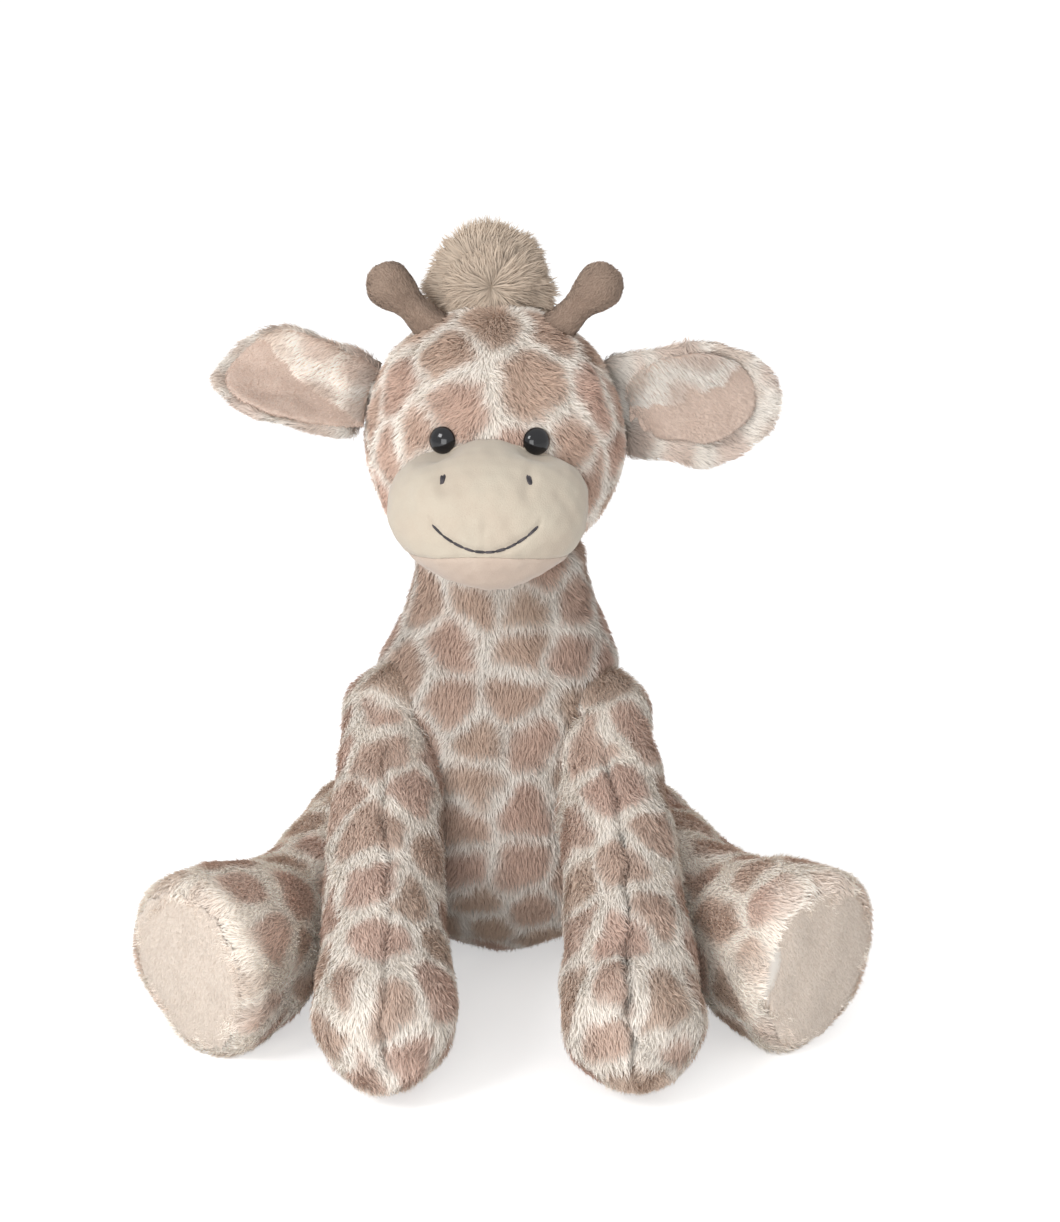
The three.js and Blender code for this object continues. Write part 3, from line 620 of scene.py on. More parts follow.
def new_tree(name: str, sockets: dict[str, str]) -> tuple[bpy.types.NodeTree, Nodes, Sequence[Socket]]:
    """A geometry tree with named inputs and one output for the mesh.

    Args:
        name: The tree's name.
        sockets: The kinds of its inputs by name.

    Returns:
        The tree, its node helper and its inputs.
    """
    tree = bpy.data.node_groups.new(name, "GeometryNodeTree")
    for title, kind in sockets.items():
        tree.interface.new_socket(name=title, in_out="INPUT", socket_type=f"NodeSocket{kind}")
    tree.interface.new_socket(name="Mesh", in_out="OUTPUT", socket_type="NodeSocketGeometry")
    nodes = Nodes(tree)
    return tree, nodes, nodes.add("NodeGroupInput").outputs


def run_tree(item: Item, tree: bpy.types.NodeTree, given: dict[str, object]) -> Item:
    """Runs a geometry tree on an object and keeps the result as a plain mesh.

    Args:
        item: The object whose mesh it takes.
        tree: The tree.
        given: Values for its inputs by name.

    Returns:
        The changed object.
    """
    modifier = item.modifiers.new(tree.name, "NODES")
    modifier.node_group = tree
    for socket in tree.interface.items_tree:
        if socket.in_out == "INPUT" and socket.name in given:
            modifier[socket.identifier] = given[socket.name]
    return settle(item)


# Finishes


@dataclass(frozen=True)
class Skin:
    """A material and the record's slot that it stands for."""

    material: bpy.types.Material
    slot: str


@dataclass(frozen=True)
class PlushFinish:
    """Printed plush: cream lattice between taupe patches, darker at the roots than at the tips, as painted
    shade deep in the pile and a painted highlight on the tips.
    """

    name: str
    cream: str = "#F6EFE6"
    rose: str = "#D3B4A4"
    taupe: str = "#CBB29F"
    # Painted light along each strand: the root's level is painted shade deep in the pile, and a tip level
    # above 1 is a painted highlight
    root_shade: float = 0.84
    tip_shade: float = 1.08
    strand_spread: float = 0.14
    # How far the painted shade in seams and creases darkens the colour
    painted_crease_strength: float = 0.5
    roughness: float = 0.95
    sheen: float = 0.06
    cloud_size: float = 100 / 9
    cloud_shade: float = 0.16

    @classmethod
    def plain(cls, name: str, colour: str, **shades: float) -> "PlushFinish":
        """A plush of one colour, for a nap without a print."""
        return cls(name, colour, colour, colour, **shades)

    def material(self) -> bpy.types.Material:
        """Builds the material, which reads what each strand or point of cloth was given."""
        made, nodes, shader = new_material(self.name)
        patch_colour = nodes.mixed(nodes.read("tone"), linear(self.rose), linear(self.taupe))
        colour = nodes.mixed(nodes.read("patch"), linear(self.cream), patch_colour)
        cloud = nodes.cloud(nodes.place(), self.cloud_size, 2.0)
        # Each factor below scales the colour: a random shade for each strand, the painted shade and highlight
        # from root to tip, painted shade in seams and creases, painted light for the whole piece, and random
        # clouds
        rise = self.tip_shade - self.root_shade
        factors = (
            (nodes.read("shade"), self.strand_spread, 1 - self.strand_spread / 2),
            (nodes.read("reach"), rise, self.root_shade), (nodes.read("crease"), -self.painted_crease_strength, 1.0),
            (nodes.read("bright"), 1.0, 1.0), (cloud, self.cloud_shade, 1 - self.cloud_shade / 2),
        )
        for share, slope, base in factors:
            colour = nodes.scaled(colour, nodes.math("MULTIPLY_ADD", share, slope, base))
        nodes.feed(shader.inputs["Base Color"], colour)
        set_inputs(shader, self.roughness, self.sheen)
        return made


@dataclass(frozen=True)
class VelourFinish:
    """Short velour: a fine nap that lies in soft clouds, with thread-sized bumps."""

    name: str
    colour: str
    shadow: str
    cloud_size: float = 9.0
    nap_size: float = 0.5
    nap_bump: float = 0.35
    nap_height: float = 0.4
    nap_share: float = 0.55
    cloud_share: float = 1.1
    cloud_base: float = -0.35
    sheen: float = 0.3
    roughness: float = 0.9

    def material(self) -> bpy.types.Material:
        """Builds the material on the piece's own coordinates."""
        made, nodes, shader = new_material(self.name)
        place = nodes.place()
        cloud = nodes.cloud(place, self.cloud_size, 3.0)
        nap = nodes.cloud(place, self.nap_size, 2.0)
        clouds = nodes.math("MULTIPLY_ADD", cloud, self.cloud_share, self.cloud_base)
        share = nodes.math("MULTIPLY_ADD", nap, self.nap_share, clouds)
        colour = nodes.mixed(share, linear(self.shadow), linear(self.colour))
        nodes.feed(shader.inputs["Base Color"], colour)
        nodes.bump(shader, nap, self.nap_height, self.nap_bump)
        set_inputs(shader, self.roughness, self.sheen)
        return made


@dataclass(frozen=True)
class ThreadFinish:
    """Twisted thread: fine slanting plies, a little shiny."""

    name: str
    colour: str
    light: str
    ply: float = 0.45
    ply_height: float = 0.15
    ply_bump: float = 0.6
    waves_per_scale: float = 20.0
    unevenness: float = 1.5
    roughness: float = 0.6

    def material(self) -> bpy.types.Material:
        """Builds the material."""
        made, nodes, shader = new_material(self.name)
        scale = 1 / (self.ply * MM * self.waves_per_scale)
        inputs = {"Vector": nodes.place(), "Scale": scale, "Distortion": self.unevenness}
        wave = nodes.add("ShaderNodeTexWave", inputs, bands_direction="DIAGONAL")
        plies = wave.outputs["Fac"]
        nodes.feed(shader.inputs["Base Color"], nodes.mixed(plies, linear(self.colour), linear(self.light)))
        nodes.bump(shader, plies, self.ply_height, self.ply_bump)
        shader.inputs["Roughness"].default_value = self.roughness
        return made


@dataclass(frozen=True)
class PlasticFinish:
    """Moulded plastic, glossy or plain, with the faint unevenness of its mould."""

    name: str
    colour: str
    light: str
    roughness: float
    cloud_size: float = 3.0
    cloud_roughness: float = 0.06

    def material(self) -> bpy.types.Material:
        """Builds the material."""
        made, nodes, shader = new_material(self.name)
        cloud = nodes.cloud(nodes.place(), self.cloud_size, 2.0)
        nodes.feed(shader.inputs["Base Color"], nodes.mixed(cloud, linear(self.colour), linear(self.light)))
        rough = nodes.math("MULTIPLY_ADD", cloud, self.cloud_roughness, self.roughness)
        nodes.feed(shader.inputs["Roughness"], rough)
        return made


def new_material(name: str) -> tuple[bpy.types.Material, Nodes, bpy.types.Node]:
    """A fresh material.

    Args:
        name: The material's name.

    Returns:
        The material, its node helper and its Principled shader.
    """
    made = bpy.data.materials.new(name)
    made.use_nodes = True
    return made, Nodes(made.node_tree), made.node_tree.nodes["Principled BSDF"]


def set_inputs(shader: bpy.types.Node, roughness: float, sheen: float) -> None:
    """Makes a shader as dull as cloth, with a fine sheen."""
    shader.inputs["Roughness"].default_value = roughness
    shader.inputs["Sheen Weight"].default_value = sheen
    shader.inputs["Specular IOR Level"].default_value = CLOTH_SPECULAR


# Pile


def strand_mesh() -> Item:
    """One strand of pile, a tapered blade that droops, one unit long and one wide."""
    points = np.array(((-0.5, 0, 0), (0.5, 0, 0), (0.38, 0.07, 0.55), (-0.38, 0.07, 0.55), (0, -0.16, 1)))
    made = new_object("strand", points / MM, [(0, 1, 2, 3), (3, 2, 4)])
    store(made, "reach", points[:, 2])
    store(made, "across", points[:, 0] + 0.5)
    return made


def pile_tree() -> bpy.types.NodeTree:
    """The node tree that grows pile on cloth.

    It reads from the cloth where pile grows and how long (pile), which way it lies (lay) and its
    print (patch, tone), and gives each strand its place in the print and a shade of its own.
    """
    sockets = {"Cloth": "Geometry", "Strand": "Object", "Finish": "Material"}
    sockets |= {name: "Float" for name in ("Density", "Length", "Width", "Lean", "Stray")}
    sockets |= {"Tuft size": "Float", "Tuft pull": "Float", "Seed": "Int"}
    tree, nodes, given = new_tree("pile", sockets)
    pile = nodes.stored("pile", "FLOAT")
    grows = nodes.math("GREATER_THAN", pile, LEAST_PILE)
    scatter = nodes.add(
        "GeometryNodeDistributePointsOnFaces",
        {
            "Mesh": given["Cloth"], "Density": nodes.math("MULTIPLY", given["Density"], grows),
            "Seed": given["Seed"],
        },
        distribute_method="RANDOM",
    )
    normal = scatter.outputs["Normal"]

    def chance(low: Value, high: Value, offset: int, kind: str = "FLOAT") -> Socket:
        """A random number or vector for each strand."""
        seed = nodes.math("ADD", given["Seed"], float(offset))
        node = nodes.add("FunctionNodeRandomValue", {"Seed": seed}, data_type=kind)
        low_name, high_name = (0, 1) if kind == "FLOAT_VECTOR" else (2, 3)
        nodes.feed(node.inputs[low_name], low)
        nodes.feed(node.inputs[high_name], high)
        return node.outputs[0 if kind == "FLOAT_VECTOR" else 1]

    chosen = {
        "Length": (0.7, 1.12, 2), "Roll": (-0.6, 0.6, 3), "Width": (0.7, 1.3, 4), "Shade": (0.0, 1.0, 5),
    }
    vary = {name: chance(*given_range) for name, given_range in chosen.items()}
    place = nodes.add("GeometryNodeInputPosition").outputs[0]
    upright = nodes.math("SUBTRACT", 1.0, given["Lean"])
    lying = nodes.scaled(nodes.stored("lay"), given["Lean"])
    stray = nodes.scaled(chance((-1, -1, -1), (1, 1, 1), 1, "FLOAT_VECTOR"), given["Stray"])
    way = nodes.vector("ADD", nodes.scaled(normal, upright), lying)
    way = nodes.vector("NORMALIZE", nodes.vector("ADD", way, stray))
    tufts = nodes.add(
        "ShaderNodeTexVoronoi", {"Vector": place, "Scale": nodes.math("DIVIDE", 1.0, given["Tuft size"])},
        voronoi_dimensions="3D",
    )
    inward = nodes.vector("SUBTRACT", tufts.outputs["Position"], place)
    inward = nodes.vector("SUBTRACT", inward, nodes.scaled(normal, nodes.dot(inward, normal)))
    length = nodes.math("MULTIPLY", given["Length"], nodes.math("MULTIPLY", pile, vary["Length"]))
    tip = nodes.scaled(way, length)
    tip = nodes.vector("ADD", tip, nodes.scaled(inward, given["Tuft pull"]))
    aim = nodes.aimed("Z", tip, "Y", normal)
    roll = nodes.add("FunctionNodeAxisAngleToRotation", {"Axis": (0, 0, 1), "Angle": vary["Roll"]})
    inputs = {"Rotation": aim, "Rotate By": roll.outputs[0]}
    aim = nodes.add("FunctionNodeRotateRotation", inputs, rotation_space="LOCAL")
    wide = nodes.math("MULTIPLY", given["Width"], vary["Width"])
    size = nodes.add("ShaderNodeCombineXYZ", {"X": wide, "Y": length, "Z": length})
    strand = nodes.add("GeometryNodeObjectInfo", {"Object": given["Strand"]})
    planted = nodes.add(
        "GeometryNodeInstanceOnPoints",
        {
            "Points": scatter.outputs["Points"], "Instance": strand.outputs["Geometry"],
            "Rotation": aim.outputs[0], "Scale": size.outputs[0],
        },
    ).outputs[0]

    def keep(geometry: Socket, name: str, value: Value, kind: str, domain: str) -> Socket:
        """Stores a named value on the strands."""
        inputs = {"Geometry": geometry, "Name": name, "Value": value}
        node = nodes.add("GeometryNodeStoreNamedAttribute", inputs, data_type=kind, domain=domain)
        return node.outputs[0]

    planted = keep(planted, "shade", vary["Shade"], "FLOAT", "INSTANCE")
    count = nodes.add(
        "GeometryNodeAttributeDomainSize", {"Geometry": scatter.outputs["Points"]}, component="POINTCLOUD"
    )
    per_row = nodes.math("CEIL", nodes.math("SQRT", count.outputs["Point Count"]))
    index = nodes.add("GeometryNodeInputIndex").outputs[0]
    column = nodes.math("MODULO", index, per_row)
    row = nodes.math("FLOOR", nodes.math("DIVIDE", index, per_row))
    cell = nodes.add("ShaderNodeCombineXYZ", {"X": column, "Y": row})
    planted = keep(planted, "cell", cell.outputs[0], "FLOAT_VECTOR", "INSTANCE")
    grown = nodes.add("GeometryNodeRealizeInstances", {"Geometry": planted}).outputs[0]
    where = nodes.add("ShaderNodeSeparateXYZ", {0: place})
    above = nodes.math("MAXIMUM", where.outputs["Z"], FLOOR_GAP * MM)
    lifted = nodes.add("ShaderNodeCombineXYZ", {"X": where.outputs["X"], "Y": where.outputs["Y"], "Z": above})
    inputs = {"Geometry": grown, "Position": lifted.outputs[0]}
    grown = nodes.add("GeometryNodeSetPosition", inputs).outputs[0]
    within = {"X": nodes.stored("across", "FLOAT"), "Y": nodes.stored("reach", "FLOAT")}
    inner = nodes.add("ShaderNodeCombineXYZ", within)
    inner = nodes.vector("MULTIPLY_ADD", inner.outputs[0], (1 - 2 * CELL_MARGIN,) * 3, (CELL_MARGIN,) * 3)
    spot = nodes.vector("ADD", nodes.stored("cell"), inner)
    spot = nodes.scaled(spot, nodes.math("DIVIDE", 1.0, per_row))
    grown = keep(grown, "OFBake", spot, "FLOAT2", "CORNER")
    for name in ("lay", "pile", "cell", "across"):
        grown = nodes.add("GeometryNodeRemoveAttribute", {"Geometry": grown, "Name": name}).outputs[0]
    dressed = nodes.add("GeometryNodeSetMaterial", {"Geometry": grown, "Material": given["Finish"]})
    nodes.add("NodeGroupOutput", {0: dressed.outputs[0]})
    return tree


@dataclass(frozen=True)
class Pile:
    """A kind of pile: its strands' sizes, how they lie and how they clump."""

    length: float = 3.9
    width: float = 0.39
    per_area: float = 1.13
    lean: float = 0.62
    stray: float = 0.17
    tuft_size: float = 2.6
    tuft_pull: float = 0.3

    def grow(self, workshop: "Workshop", cloth: Item, name: str, skin: Skin, body: str, seed: int) -> None:
        """Grows one coat of this pile on a piece of cloth, as a piece of its own.

        Args:
            workshop: Holds the tree and the strand.
            cloth: The mesh with its pile, lay and print stored on it.
            name: The new piece's name.
            skin: The strands' material and slot.
            body: The body that it moves with.
            seed: Picks the strands' places.
        """
        carrier = copy_of(cloth)
        carrier.name = name
        carrier.data.materials.clear()
        given = {
            "Strand": workshop.strand, "Finish": skin.material, "Density": self.per_area / MM**2,
            "Length": self.length * MM, "Width": self.width * MM, "Lean": self.lean, "Stray": self.stray,
            "Tuft size": self.tuft_size * MM, "Tuft pull": self.tuft_pull, "Seed": seed,
        }
        finish_piece(run_tree(carrier, workshop.tree, given), skin, body)


@dataclass(frozen=True)
class Print:
    """The plush's print: rounded patches in a pale lattice, spread evenly over a piece."""

    spacing: float = 23.0
    lattice: float = 4.2
    softness: float = 1.4
    unevenness: float = 0.2
    rounding: float = 1.3
    strength: float = 1.0
    stretch: Triple = (1.0, 1.0, 1.0)
    warp: float = 1.1
    warp_size: float = 16.0
    crowding: float = 0.72
    swell: float = 0.4
    swell_size: float = 21.0
    fray: float = 0.35
    fray_size: float = 4.0
    middle_share: float = 0.18
    middle_width: float = 5.0

    def lay_on(
        self, item: Item, seed: int, paleness: Union[float, Array] = 0.0,
        marks: Sequence[tuple[float, float]] = (),
    ) -> None:
        """Stores the print on a piece of cloth, as patch and tone.

        Args:
            item: The cloth.
            seed: Picks where the patches fall.
            paleness: How much it fades out, from 0 to 1.
            marks: The first patches' places on the front, across and up.
        """
        rng = np.random.default_rng(seed)
        points = points_of(item)
        warped = (points + ripples(points, self.warp_size, seed * 7) * self.warp) / np.array(self.stretch)
        behind = np.where(points[:, 1] < points[:, 1].mean(), 0.0, np.inf)
        sites = [
            warped[int((np.hypot(points[:, 0] - across, points[:, 2] - up) + behind).argmin())]
            for across, up in marks
        ] or [warped[rng.integers(len(warped))]]
        nearest = np.min([np.linalg.norm(warped - site, axis=1) for site in sites], axis=0)
        while nearest.max() > self.spacing * self.crowding:
            sites.append(warped[int(nearest.argmax())])
            nearest = np.minimum(nearest, np.linalg.norm(warped - sites[-1], axis=1))
        places = np.array(sites)
        jitter = rng.normal(size=places.shape) * self.spacing * self.unevenness / 2
        jitter[: len(marks)] = 0
        places += jitter
        square = ((warped[:, None] - places[None]) ** 2).sum(axis=2)
        own = square.argmin(axis=1)
        apart = np.linalg.norm(places[own][:, None] - places[None], axis=2)
        apart[np.arange(len(points)), own] = np.inf
        edge = (square - square.min(axis=1)[:, None]) / (2 * np.where(np.isinf(apart), 1, apart))
        edge[np.arange(len(points)), own] = np.inf
        rounded = -np.log(np.exp(-edge * self.rounding).sum(axis=1)) / self.rounding
        half = self.lattice / 2 * (1 + self.swell * ripple(points, self.swell_size, seed + 4))
        rounded = rounded + self.fray * ripple(points, self.fray_size, seed + 5)
        edge = smooth_step(rounded, half - self.softness, half + self.softness)
        middle = smooth_step(rounded, half, half + self.middle_width)
        share = edge + self.middle_share * (middle - edge)
        store(item, "patch", self.strength * (1 - paleness) * share)
        store(item, "tone", rng.uniform(0, 1, len(places))[own])


class Workshop:
    """What all pieces share: the skins, the strand, the stitch and the trees that plant them."""

    def __init__(self) -> None:
        """Builds the shared materials and trees."""
        self.strand = strand_mesh()
        self.strand.hide_render = True
        self.tree = pile_tree()
        # The pile's roots are painted darker than its tips as painted shade deep in the pile, and the cloth
        # under it darker still as painted shade of the pile over it; the long pile's core has darker colours
        # for the same painted shade
        self.cloth = Skin(PlushFinish("plush_cloth", root_shade=0.7, tip_shade=0.7).material(), "plush")
        self.plush = Skin(PlushFinish("plush_pile").material(), "plush")
        pile = PlushFinish("long_pile", rose="#D6C4B2", taupe="#CAB8A5", root_shade=0.66)
        self.long_pile = Skin(pile.material(), "long_pile")
        core = PlushFinish("long_pile_cloth", rose="#C2B09D", taupe="#B6A490", root_shade=0.6, tip_shade=0.6)
        self.long_cloth = Skin(core.material(), "long_pile")
        self.muzzle = self.velour("muzzle_velour", "#CEC6B5", "#C3B3A2", cloud_size=16.0)
        self.chin = self.velour("chin_velour", "#D0BFB0", "#C1AD9E")
        self.sole = self.velour("sole_velour", "#E5D9CD", "#DACBBE")
        self.lining = self.velour("ear_lining_velour", "#D9C6B8", "#CBB4A6")
        self.horn = Skin(VelourFinish("horn_cloth", "#A08A7A", "#8E7869").material(), "horn_velour")
        self.thread = Skin(ThreadFinish("dark_thread", "#2B272C", "#4A4448").material(), "thread")
        self.eye = Skin(PlasticFinish("eye_black", "#08080B", "#121217", 0.07).material(), "eye_plastic")
        self.washer = PlasticFinish("washer_white", "#E4E4DF", "#EEEEEA", 0.4).material()
        # The naps' roots are painted darker than their tips, as painted shade deep in the nap
        nap = PlushFinish.plain("horn_nap", "#AC9686", root_shade=0.8, tip_shade=1.05, strand_spread=0.2)
        self.horn_nap = Skin(nap.material(), "horn_velour")
        nap = PlushFinish.plain("lining_nap", "#D8C4B7", root_shade=0.88, tip_shade=1.0, strand_spread=0.1)
        self.lining_nap = Skin(nap.material(), "velour")
        nap = PlushFinish.plain("sole_nap", "#E5D9CD", root_shade=0.9, tip_shade=1.0, strand_spread=0.08)
        self.sole_nap = Skin(nap.material(), "velour")
        self.short_nap = Pile(
            length=1.2, width=0.24, per_area=3.2, lean=0.6, stray=0.3, tuft_size=1.6, tuft_pull=0.1
        )
        self.tuft_pile = Pile(
            length=11.0, width=0.5, per_area=9.0, lean=0.86, stray=0.18, tuft_size=3.0, tuft_pull=0.6
        )
        self.stitch = stitch_mesh()
        self.stitch_tree = stitch_tree()

    def velour(self, name: str, colour: str, shadow: str, **sizes: float) -> Skin:
        """A velour of two shades of one colour."""
        return Skin(VelourFinish(name, colour, shadow, **sizes).material(), "velour")

    def close(self) -> None:
        """Removes the helpers, once nothing needs them."""
        discard(self.strand, self.stitch)


def finish_piece(
    item: Item, skin: Skin, body: str, replaces: Sequence[str] = (),
) -> Item:
    """Gives a finished mesh its material and says what it belongs to.

    Args:
        item: The piece, at the origin with its place in its mesh.
        skin: Its material and slot.
        body: The body that it moves with.
        replaces: Nodes that it stands for.

    Returns:
        The same object.
    """
    item.data.materials.clear()
    item.data.materials.append(skin.material)
    shade_smooth(item)
    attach(item, body)
    if replaces:
        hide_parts(*replaces)
    log.info("%s: %d faces on %s", item.name, len(item.data.polygons), body)
    return item


def plain_print(item: Item) -> None:
    """Stores one colour all over a piece that has no print."""
    store_evenly(item, patch=1.0, crease=0.0, tone=0.5)


def forget(item: Item) -> None:
    """Removes what only the growing pile needed."""
    for name in ("lay", "pile"):
        item.data.attributes.remove(item.data.attributes[name])


def comb(item: Item, pile: Array, lay: Array) -> None:
    """Stores how long the pile grows on cloth, and the way it lies once pressed along the cloth."""
    store(item, "pile", pile)
    store(item, "lay", along_cloth(lay, normals_of(item)))


# Sub-assemblies


@dataclass(frozen=True)
class Stuffing:
    """How a form is rounded off, and how lumpy its stuffing leaves it."""

    voxel: float
    passes: int
    lump: float
    lump_size: float

    def fill(self, item: Item, seed: int) -> None:
        """Rounds a form off and makes it lumpy."""
        round_off(item, self.voxel, self.passes)
        self.lump_up(item, seed)

    def lump_up(self, item: Item, seed: int) -> None:
        """Makes a form lumpy."""
        push(item, lambda points: self.lump * ripple(points, self.lump_size, seed))


@dataclass
class Stuffed:
    """A stuffed piece of plush: its cloth, and the pile that grows on it."""

    name: str
    body: str
    seed: int
    pile: Pile = field(default_factory=Pile)
    print: Print = field(default_factory=Print)
    marks: Sequence[tuple[float, float]] = ()
    coats: int = 1
    # Painted light: how much lighter or darker the whole piece is coloured, for how the lamps fall on it
    bright: float = 0.0
    fill: float = 0.7
    replaces: tuple[str, ...] = ()
    sway: float = 0.3
    sway_size: float = 14.0
    pressed: float = 1.0
    cloth: Optional[Item] = None

    @property
    def side(self) -> str:
        """The side that the piece's name ends in."""
        return self.name.rsplit("_", 1)[1]

    def lay(self, points: Array) -> Array:
        """Which way the pile is brushed at points: down, unless a piece says otherwise."""
        return np.tile(-Z_AXIS, (len(points), 1))

    def growth(self, points: Array) -> Array:
        """How much of its length the pile has at points."""
        return np.ones(len(points))

    def crease(self, points: Array) -> Array:
        """How much painted shade darkens the pile at points, in its seams and creases."""
        return np.zeros(len(points))

    def paleness(self, points: Array) -> Array:
        """How much the print fades out at points."""
        return np.zeros(len(points))

    def brush(self, neighbours: Sequence[BVHTree]) -> None:
        """Stores the print, the lay and the pile's length on the cloth.

        Args:
            neighbours: Search trees of what it touches, where the pile is pressed short.
        """
        points = points_of(self.cloth)
        growth = self.growth(points)
        for tree in neighbours:
            gap = distance_to(tree, points)
            growth = np.minimum(growth, smooth_step(gap + self.pressed, 0.0, self.pile.length * 0.9))
        sway = ripples(points, self.sway_size, self.seed + 50)
        comb(self.cloth, growth, unit(self.lay(points)) + self.sway * sway)

    def dress(self, workshop: Workshop, neighbours: Sequence[BVHTree]) -> None:
        """Prints the cloth, grows its pile and finishes both.

        Args:
            workshop: The shared finishes and trees.
            neighbours: Search trees of what the piece touches.
        """
        self.print.lay_on(self.cloth, self.seed, self.paleness(points_of(self.cloth)), self.marks)
        # Painted shade in seams and creases, then the level of painted light for the whole piece
        store(self.cloth, "crease", self.crease(points_of(self.cloth)))
        store_evenly(self.cloth, bright=self.bright)
        self.brush(neighbours)
        finish_piece(self.cloth, workshop.cloth, self.body, self.replaces)
        for coat in range(self.coats):
            name = f"{self.name}_pile_{coat + 1}" if self.coats > 1 else f"{self.name}_pile"
            self.pile.grow(workshop, self.cloth, name, workshop.plush, self.body, self.seed * 10 + coat)
        forget(self.cloth)
        store_evenly(self.cloth, **MIDDLING)


@dataclass
class Torso(Stuffed):
    """The pear-shaped body with its neck, hollowed where the head and the limbs sit."""

    height: float = 178.0
    width: float = 120.0
    depth: float = 106.0
    draw_in: float = 0.4
    neck_lean: float = 2.2
    neck_band: tuple[float, ...] = (105.0, 140.0, 158.0, 172.0)
    shoulder_fill: float = 4.0
    shoulder_band: tuple[float, ...] = (104.0, 120.0, 122.0, 146.0)
    stuffing: Stuffing = Stuffing(voxel=1.8, passes=4, lump=0.9, lump_size=34.0)
    shares: Table = (
        (0, 0, 0, 0.02), (0.002, 0.38, 0.38, 0.02), (0.012, 0.54, 0.52, 0.05),
        (0.04, 0.7, 0.68, 0.065), (0.1, 0.88, 0.87, 0.045), (0.19, 0.985, 0.98, 0.02),
        (0.3, 1, 0.985, 0), (0.42, 0.96, 0.93, -0.005), (0.54, 0.88, 0.83, -0.01),
        (0.66, 0.76, 0.72, -0.012), (0.77, 0.65, 0.64, -0.014), (0.87, 0.58, 0.6, -0.016),
        (0.94, 0.545, 0.58, -0.018), (1, 0, 0, -0.018),
    )

    def form(self) -> SoftForm:
        """The body's outer form, to the tips of its pile."""
        rings = [
            ring(up * self.height, wide * self.width / 2, deep * self.depth / 2, shift=back * self.depth)
            for up, wide, deep, back in self.shares
        ]
        return SoftForm(Path(np.zeros(3), Z_AXIS * self.height), X_AXIS, rings, columns=96)

    def build(self, joints: Sequence["Joint"]) -> None:
        """Makes the cloth, hollowed by the head and by each limb's ball.

        Args:
            joints: The limbs' joints.
        """
        self.cloth = self.form().drawn_in(PLUSH_DEPTH + self.draw_in).build("torso_cloth")
        hollows = [ball(HEAD_CENTRE, HEAD_SOCKET)]
        hollows += [ball(joint.centre, joint.radius - joint.draw_in + SEAM_GAP) for joint in joints]
        cut(self.cloth, *hollows)
        round_off(self.cloth, self.stuffing.voxel, self.stuffing.passes)
        points = points_of(self.cloth)
        up = points[:, 2]
        points[:, 0] += self.neck_lean * band(up, *self.neck_band)
        points[:, 0] *= 1 + self.shoulder_fill / self.width * 2 * band(up, *self.shoulder_band)
        set_points(self.cloth, points)
        self.stuffing.lump_up(self.cloth, self.seed)

    def seat_for(self, joint: "Joint") -> Item:
        """What a limb is cut by: the body a little let out, without the limb's own socket."""
        seat = self.form().drawn_in(PLUSH_DEPTH - SEAM_GAP).build("seat")
        kept = ball(joint.centre, joint.radius - joint.draw_in + SEAM_GAP / 4)
        return cut(seat, kept)


@dataclass(frozen=True)
class Joint:
    """A limb's ball joint and how far the limb swings on it."""

    centre: Array
    radius: float
    axis: Array
    swing: float = 0.0
    steps: int = 0
    draw_in: float = 1.0


@dataclass
class Limb(Stuffed):
    """A stuffed limb that turns on a ball in the body's side."""

    sign: int = 1

    def joint(self) -> Joint:
        """The limb's joint."""
        raise NotImplementedError

    def form(self) -> SoftForm:
        """The limb's outer form, to the tips of its pile."""
        raise NotImplementedError

    def shape(self, torso: Torso, leans_on: Sequence[SoftForm] = ()) -> None:
        """Makes the cloth: ball and limb joined, cut by the body at rest and as the limb swings.

        Args:
            torso: The body.
            leans_on: Forms of other limbs that it gives way to.
        """
        joint = self.joint()
        self.cloth = self.form().drawn_in(PLUSH_DEPTH).build(f"{self.name}_cloth")
        combine(self.cloth, [ball(joint.centre, joint.radius - joint.draw_in)], Joinery.JOIN)
        seat = torso.seat_for(joint)
        tools = [seat]
        for step in range(1, joint.steps + 1):
            back = -joint.swing * step / joint.steps
            tools.append(turned(copy_of(seat), joint.centre, joint.axis, back))
        tools += [form.drawn_in(PLUSH_DEPTH - SEAM_GAP).build("neighbour") for form in leans_on]
        cut(self.cloth, *tools)

    def lay(self, points: Array) -> Array:
        """Brushed along the limb towards the foot."""
        path = self.form().path
        share, _ = path.run()
        nearest = np.linalg.norm(points[:, None] - path.at(share[::10])[None], axis=2).argmin(axis=1)
        return path.slope(share[::10])[nearest]


